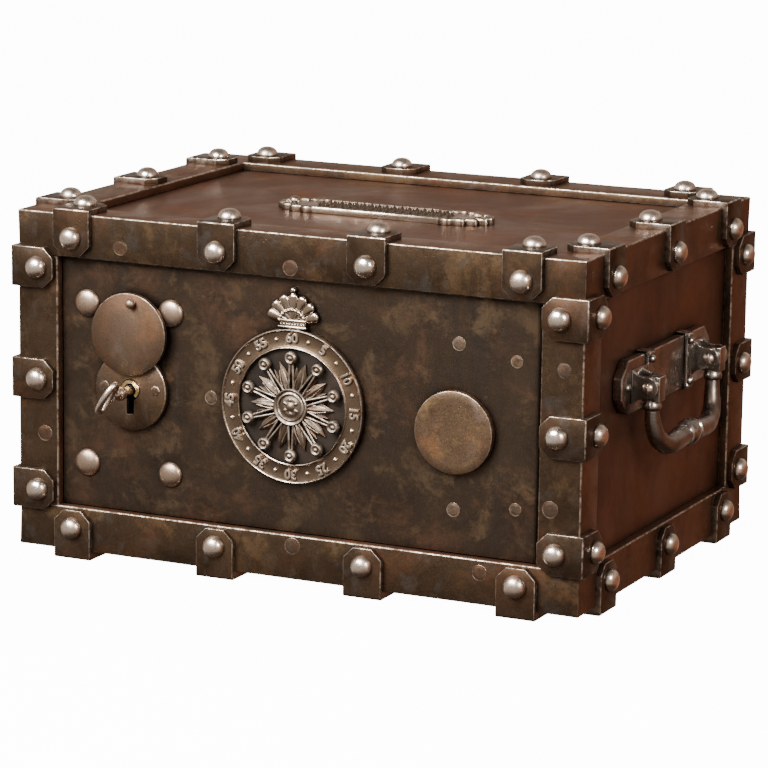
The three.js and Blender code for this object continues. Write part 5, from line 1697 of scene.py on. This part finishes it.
def pin_profile_of_fork():
    """A pin from ear to ear, with both ends hammered over."""
    end = BLOCK_HALF + EAR_GAP + EAR_THICK + GAP
    hammered = [(0, -end - 2.1), (1.8, -end - 2.0), (3.3, -end - 1.2), (4.1, -end), (3.2, -end)]
    return hammered + [(r, -z) for r, z in reversed(hammered)]


def bail(bm, at_side):
    """The grip with its bead, and a collar and a block at the end of each arm."""
    drawn(bm, [at_side @ p for p in bail_line()], bail_radius, 28)
    turned(bm, bead_profile, at_side @ facing(PIN_OUT + BAIL_BOW, 0, -BAIL_DROP, "y"), 40)
    block = [(BLOCK_OUT, BLOCK_UP), (0, BLOCK_UP)]
    for k in range(1, 9):
        a = math.pi / 2 * (1 + k / 8)
        block.append((BLOCK_UP * math.cos(a), BLOCK_UP * math.sin(a)))
    block += [(-BLOCK_IN - 0.6, -2.5), (-BLOCK_IN, -4.5), (-BLOCK_IN, -BLOCK_DOWN), (BLOCK_OUT, -BLOCK_DOWN)]
    for arm in (-ARM, ARM):
        turned(bm, collar_profile, at_side @ facing(PIN_OUT, arm, -BLOCK_DOWN - 7, "z"), 32)
        part = bmesh.new()
        sawn(part, block, -arm - BLOCK_HALF, -arm + BLOCK_HALF, at_side @ upright(PIN_OUT, 0))
        joined(bm, part, 0.6, 3)


# %% Build one handle, then its twin


def handle(side, body, turn):
    names = f"{side}_handle"
    out = Matrix.Translation((panel_out * math.cos(turn), HANDLE_Y, HANDLE_Z))
    at_side = out @ Matrix.Rotation(turn, 4, "Z")
    bm = bmesh.new()
    handle_back(bm, at_side)
    place_piece(f"{names}_back", bm, handle_skin, "body", [f"{names}_plate"])
    for where, other, way in (("front", "rear", -1), ("rear", "front", 1)):
        # Turned round to the left side, what was the front fork stands at the rear.
        stands = where if turn == 0 else other
        bm = bmesh.new()
        fork(bm, at_side, way)
        fork_name = f"{names}_fork_{where}"
        place_piece(fork_name, bm, handle_skin, "body", [f"{names}_bracket_{stands}"], polish_and_highlight=fork_top_highlight)
        bm = bmesh.new()
        turned(bm, pin_profile_of_fork(), at_side @ facing(PIN_OUT, way * ARM, 0, "y"), 24)
        place_piece(f"{names}_pin_{where}_riveted", bm, key_skin, "body", [f"{names}_pin_{stands}"])
    bm = bmesh.new()
    bail(bm, at_side)
    place_piece(f"{names}_bail_forged", bm, handle_skin, body, [f"{names}_bail"], polish_and_highlight=bail_wear_and_highlight)


handle("right", "right_bail", 0.0)
handle("left", "left_bail", math.pi)

# %% [markdown]
# ## Light, floor and background
# The photograph is lit softly from the upper left, and the iron mirrors a dim warm room. A picture of a
# real room could light the scene, but a few soft steps of colour do it without a file. The world is white
# only where it is seen directly. For everything else it is a room: neutral and brighter towards the left
# and the front, red-brown to the right, and dark below. Two soft lamps give the rivets their highlights.

# %% The room that the iron mirrors
world = bpy.data.worlds.new("room")
bpy.context.scene.world = world
world.use_nodes = True
tree = world.node_tree
tree.nodes.clear()
towards = add(tree, "ShaderNodeTexCoord").outputs["Generated"]
split = add(tree, "ShaderNodeSeparateXYZ", {0: towards}).outputs
room = mix(tree, fade(tree, split[0], -0.6, 0.45), rgb(0.6, 0.51, 0.43), rgb(0.3, 0.12, 0.064))
room = mix(tree, fade(tree, split[1], 0.1, -0.9), room, rgb(0.48, 0.41, 0.35))
room = mix(tree, fade(tree, split[2], 0.05, 0.3), room, rgb(0.48, 0.37, 0.3))
room = mix(tree, fade(tree, split[2], 0.5, 0.95), room, rgb(0.16, 0.13, 0.11))
room = mix(tree, fade(tree, split[2], -0.3, -0.7), room, rgb(0.06, 0.035, 0.022))
seen = add(tree, "ShaderNodeLightPath").outputs["Is Camera Ray"]
walls = add(tree, "ShaderNodeBackground", {"Color": room, "Strength": 1.0}).outputs[0]
paper = add(tree, "ShaderNodeBackground", {"Color": rgb(1, 1, 1), "Strength": 13.5}).outputs[0]
shown = add(tree, "ShaderNodeMixShader", {0: seen, 1: walls, 2: paper}).outputs[0]
add(tree, "ShaderNodeOutputWorld", {"Surface": shown})

# %% Two soft lamps
LAMP_TARGET = Vector((0, 0, 0.12))


def soft_lamp(name, place, size, power, colour):
    data = bpy.data.lights.new(name, "AREA")
    data.shape = "RECTANGLE"
    data.size = size[0]
    data.size_y = size[1]
    data.energy = power
    data.color = colour
    lamp = show(name, data)
    aim = LAMP_TARGET - Vector(place)
    lamp.matrix_world = Matrix.Translation(place) @ aim.to_track_quat("-Z", "Y").to_matrix().to_4x4()
    print(f"{name}: {power} W, {aim.length:.2f} m away")


soft_lamp("window", (-0.45, -1.4, 1.3), (1.15, 0.95), 118, (1.0, 0.96, 0.92))
soft_lamp("lamp_right", (1.9, -1.3, 1.2), (0.5, 0.5), 48, (1.0, 0.93, 0.86))

# %% The pale floor
FLOOR_REACH = 12.0
floor_corners = [(x * FLOOR_REACH, y * FLOOR_REACH, 0) for x, y in ((-1, -1), (1, -1), (1, 1), (-1, 1))]
floor_mesh = bpy.data.meshes.new("floor")
floor_mesh.from_pydata(floor_corners, [], [(0, 1, 2, 3)])
floor = show("floor", floor_mesh)
paper_skin = bpy.data.materials.new("pale_floor")
paper_skin.use_nodes = True
tree = paper_skin.node_tree
tree.nodes.clear()
seen = add(tree, "ShaderNodeLightPath").outputs["Is Camera Ray"]
matt = add(tree, "ShaderNodeBsdfDiffuse", {"Color": rgb(0.9, 0.9, 0.9)}).outputs[0]
glow = add(tree, "ShaderNodeEmission", {"Color": rgb(1, 1, 1), "Strength": 18.0}).outputs[0]
share = maths(tree, "MULTIPLY", seen, 0.75)
lifted = add(tree, "ShaderNodeMixShader", {0: share, 1: matt, 2: glow}).outputs[0]
add(tree, "ShaderNodeOutputMaterial", {"Surface": lifted})
floor_mesh.materials.append(paper_skin)
floor.visible_glossy = False
floor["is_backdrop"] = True

# %% Show the two boxes and finish
low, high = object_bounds()
{"cad": [list(cad_low), list(cad_high)], "visual": [list(low), list(high)]}
print("visual box", [round(v, 4) for v in high - low])
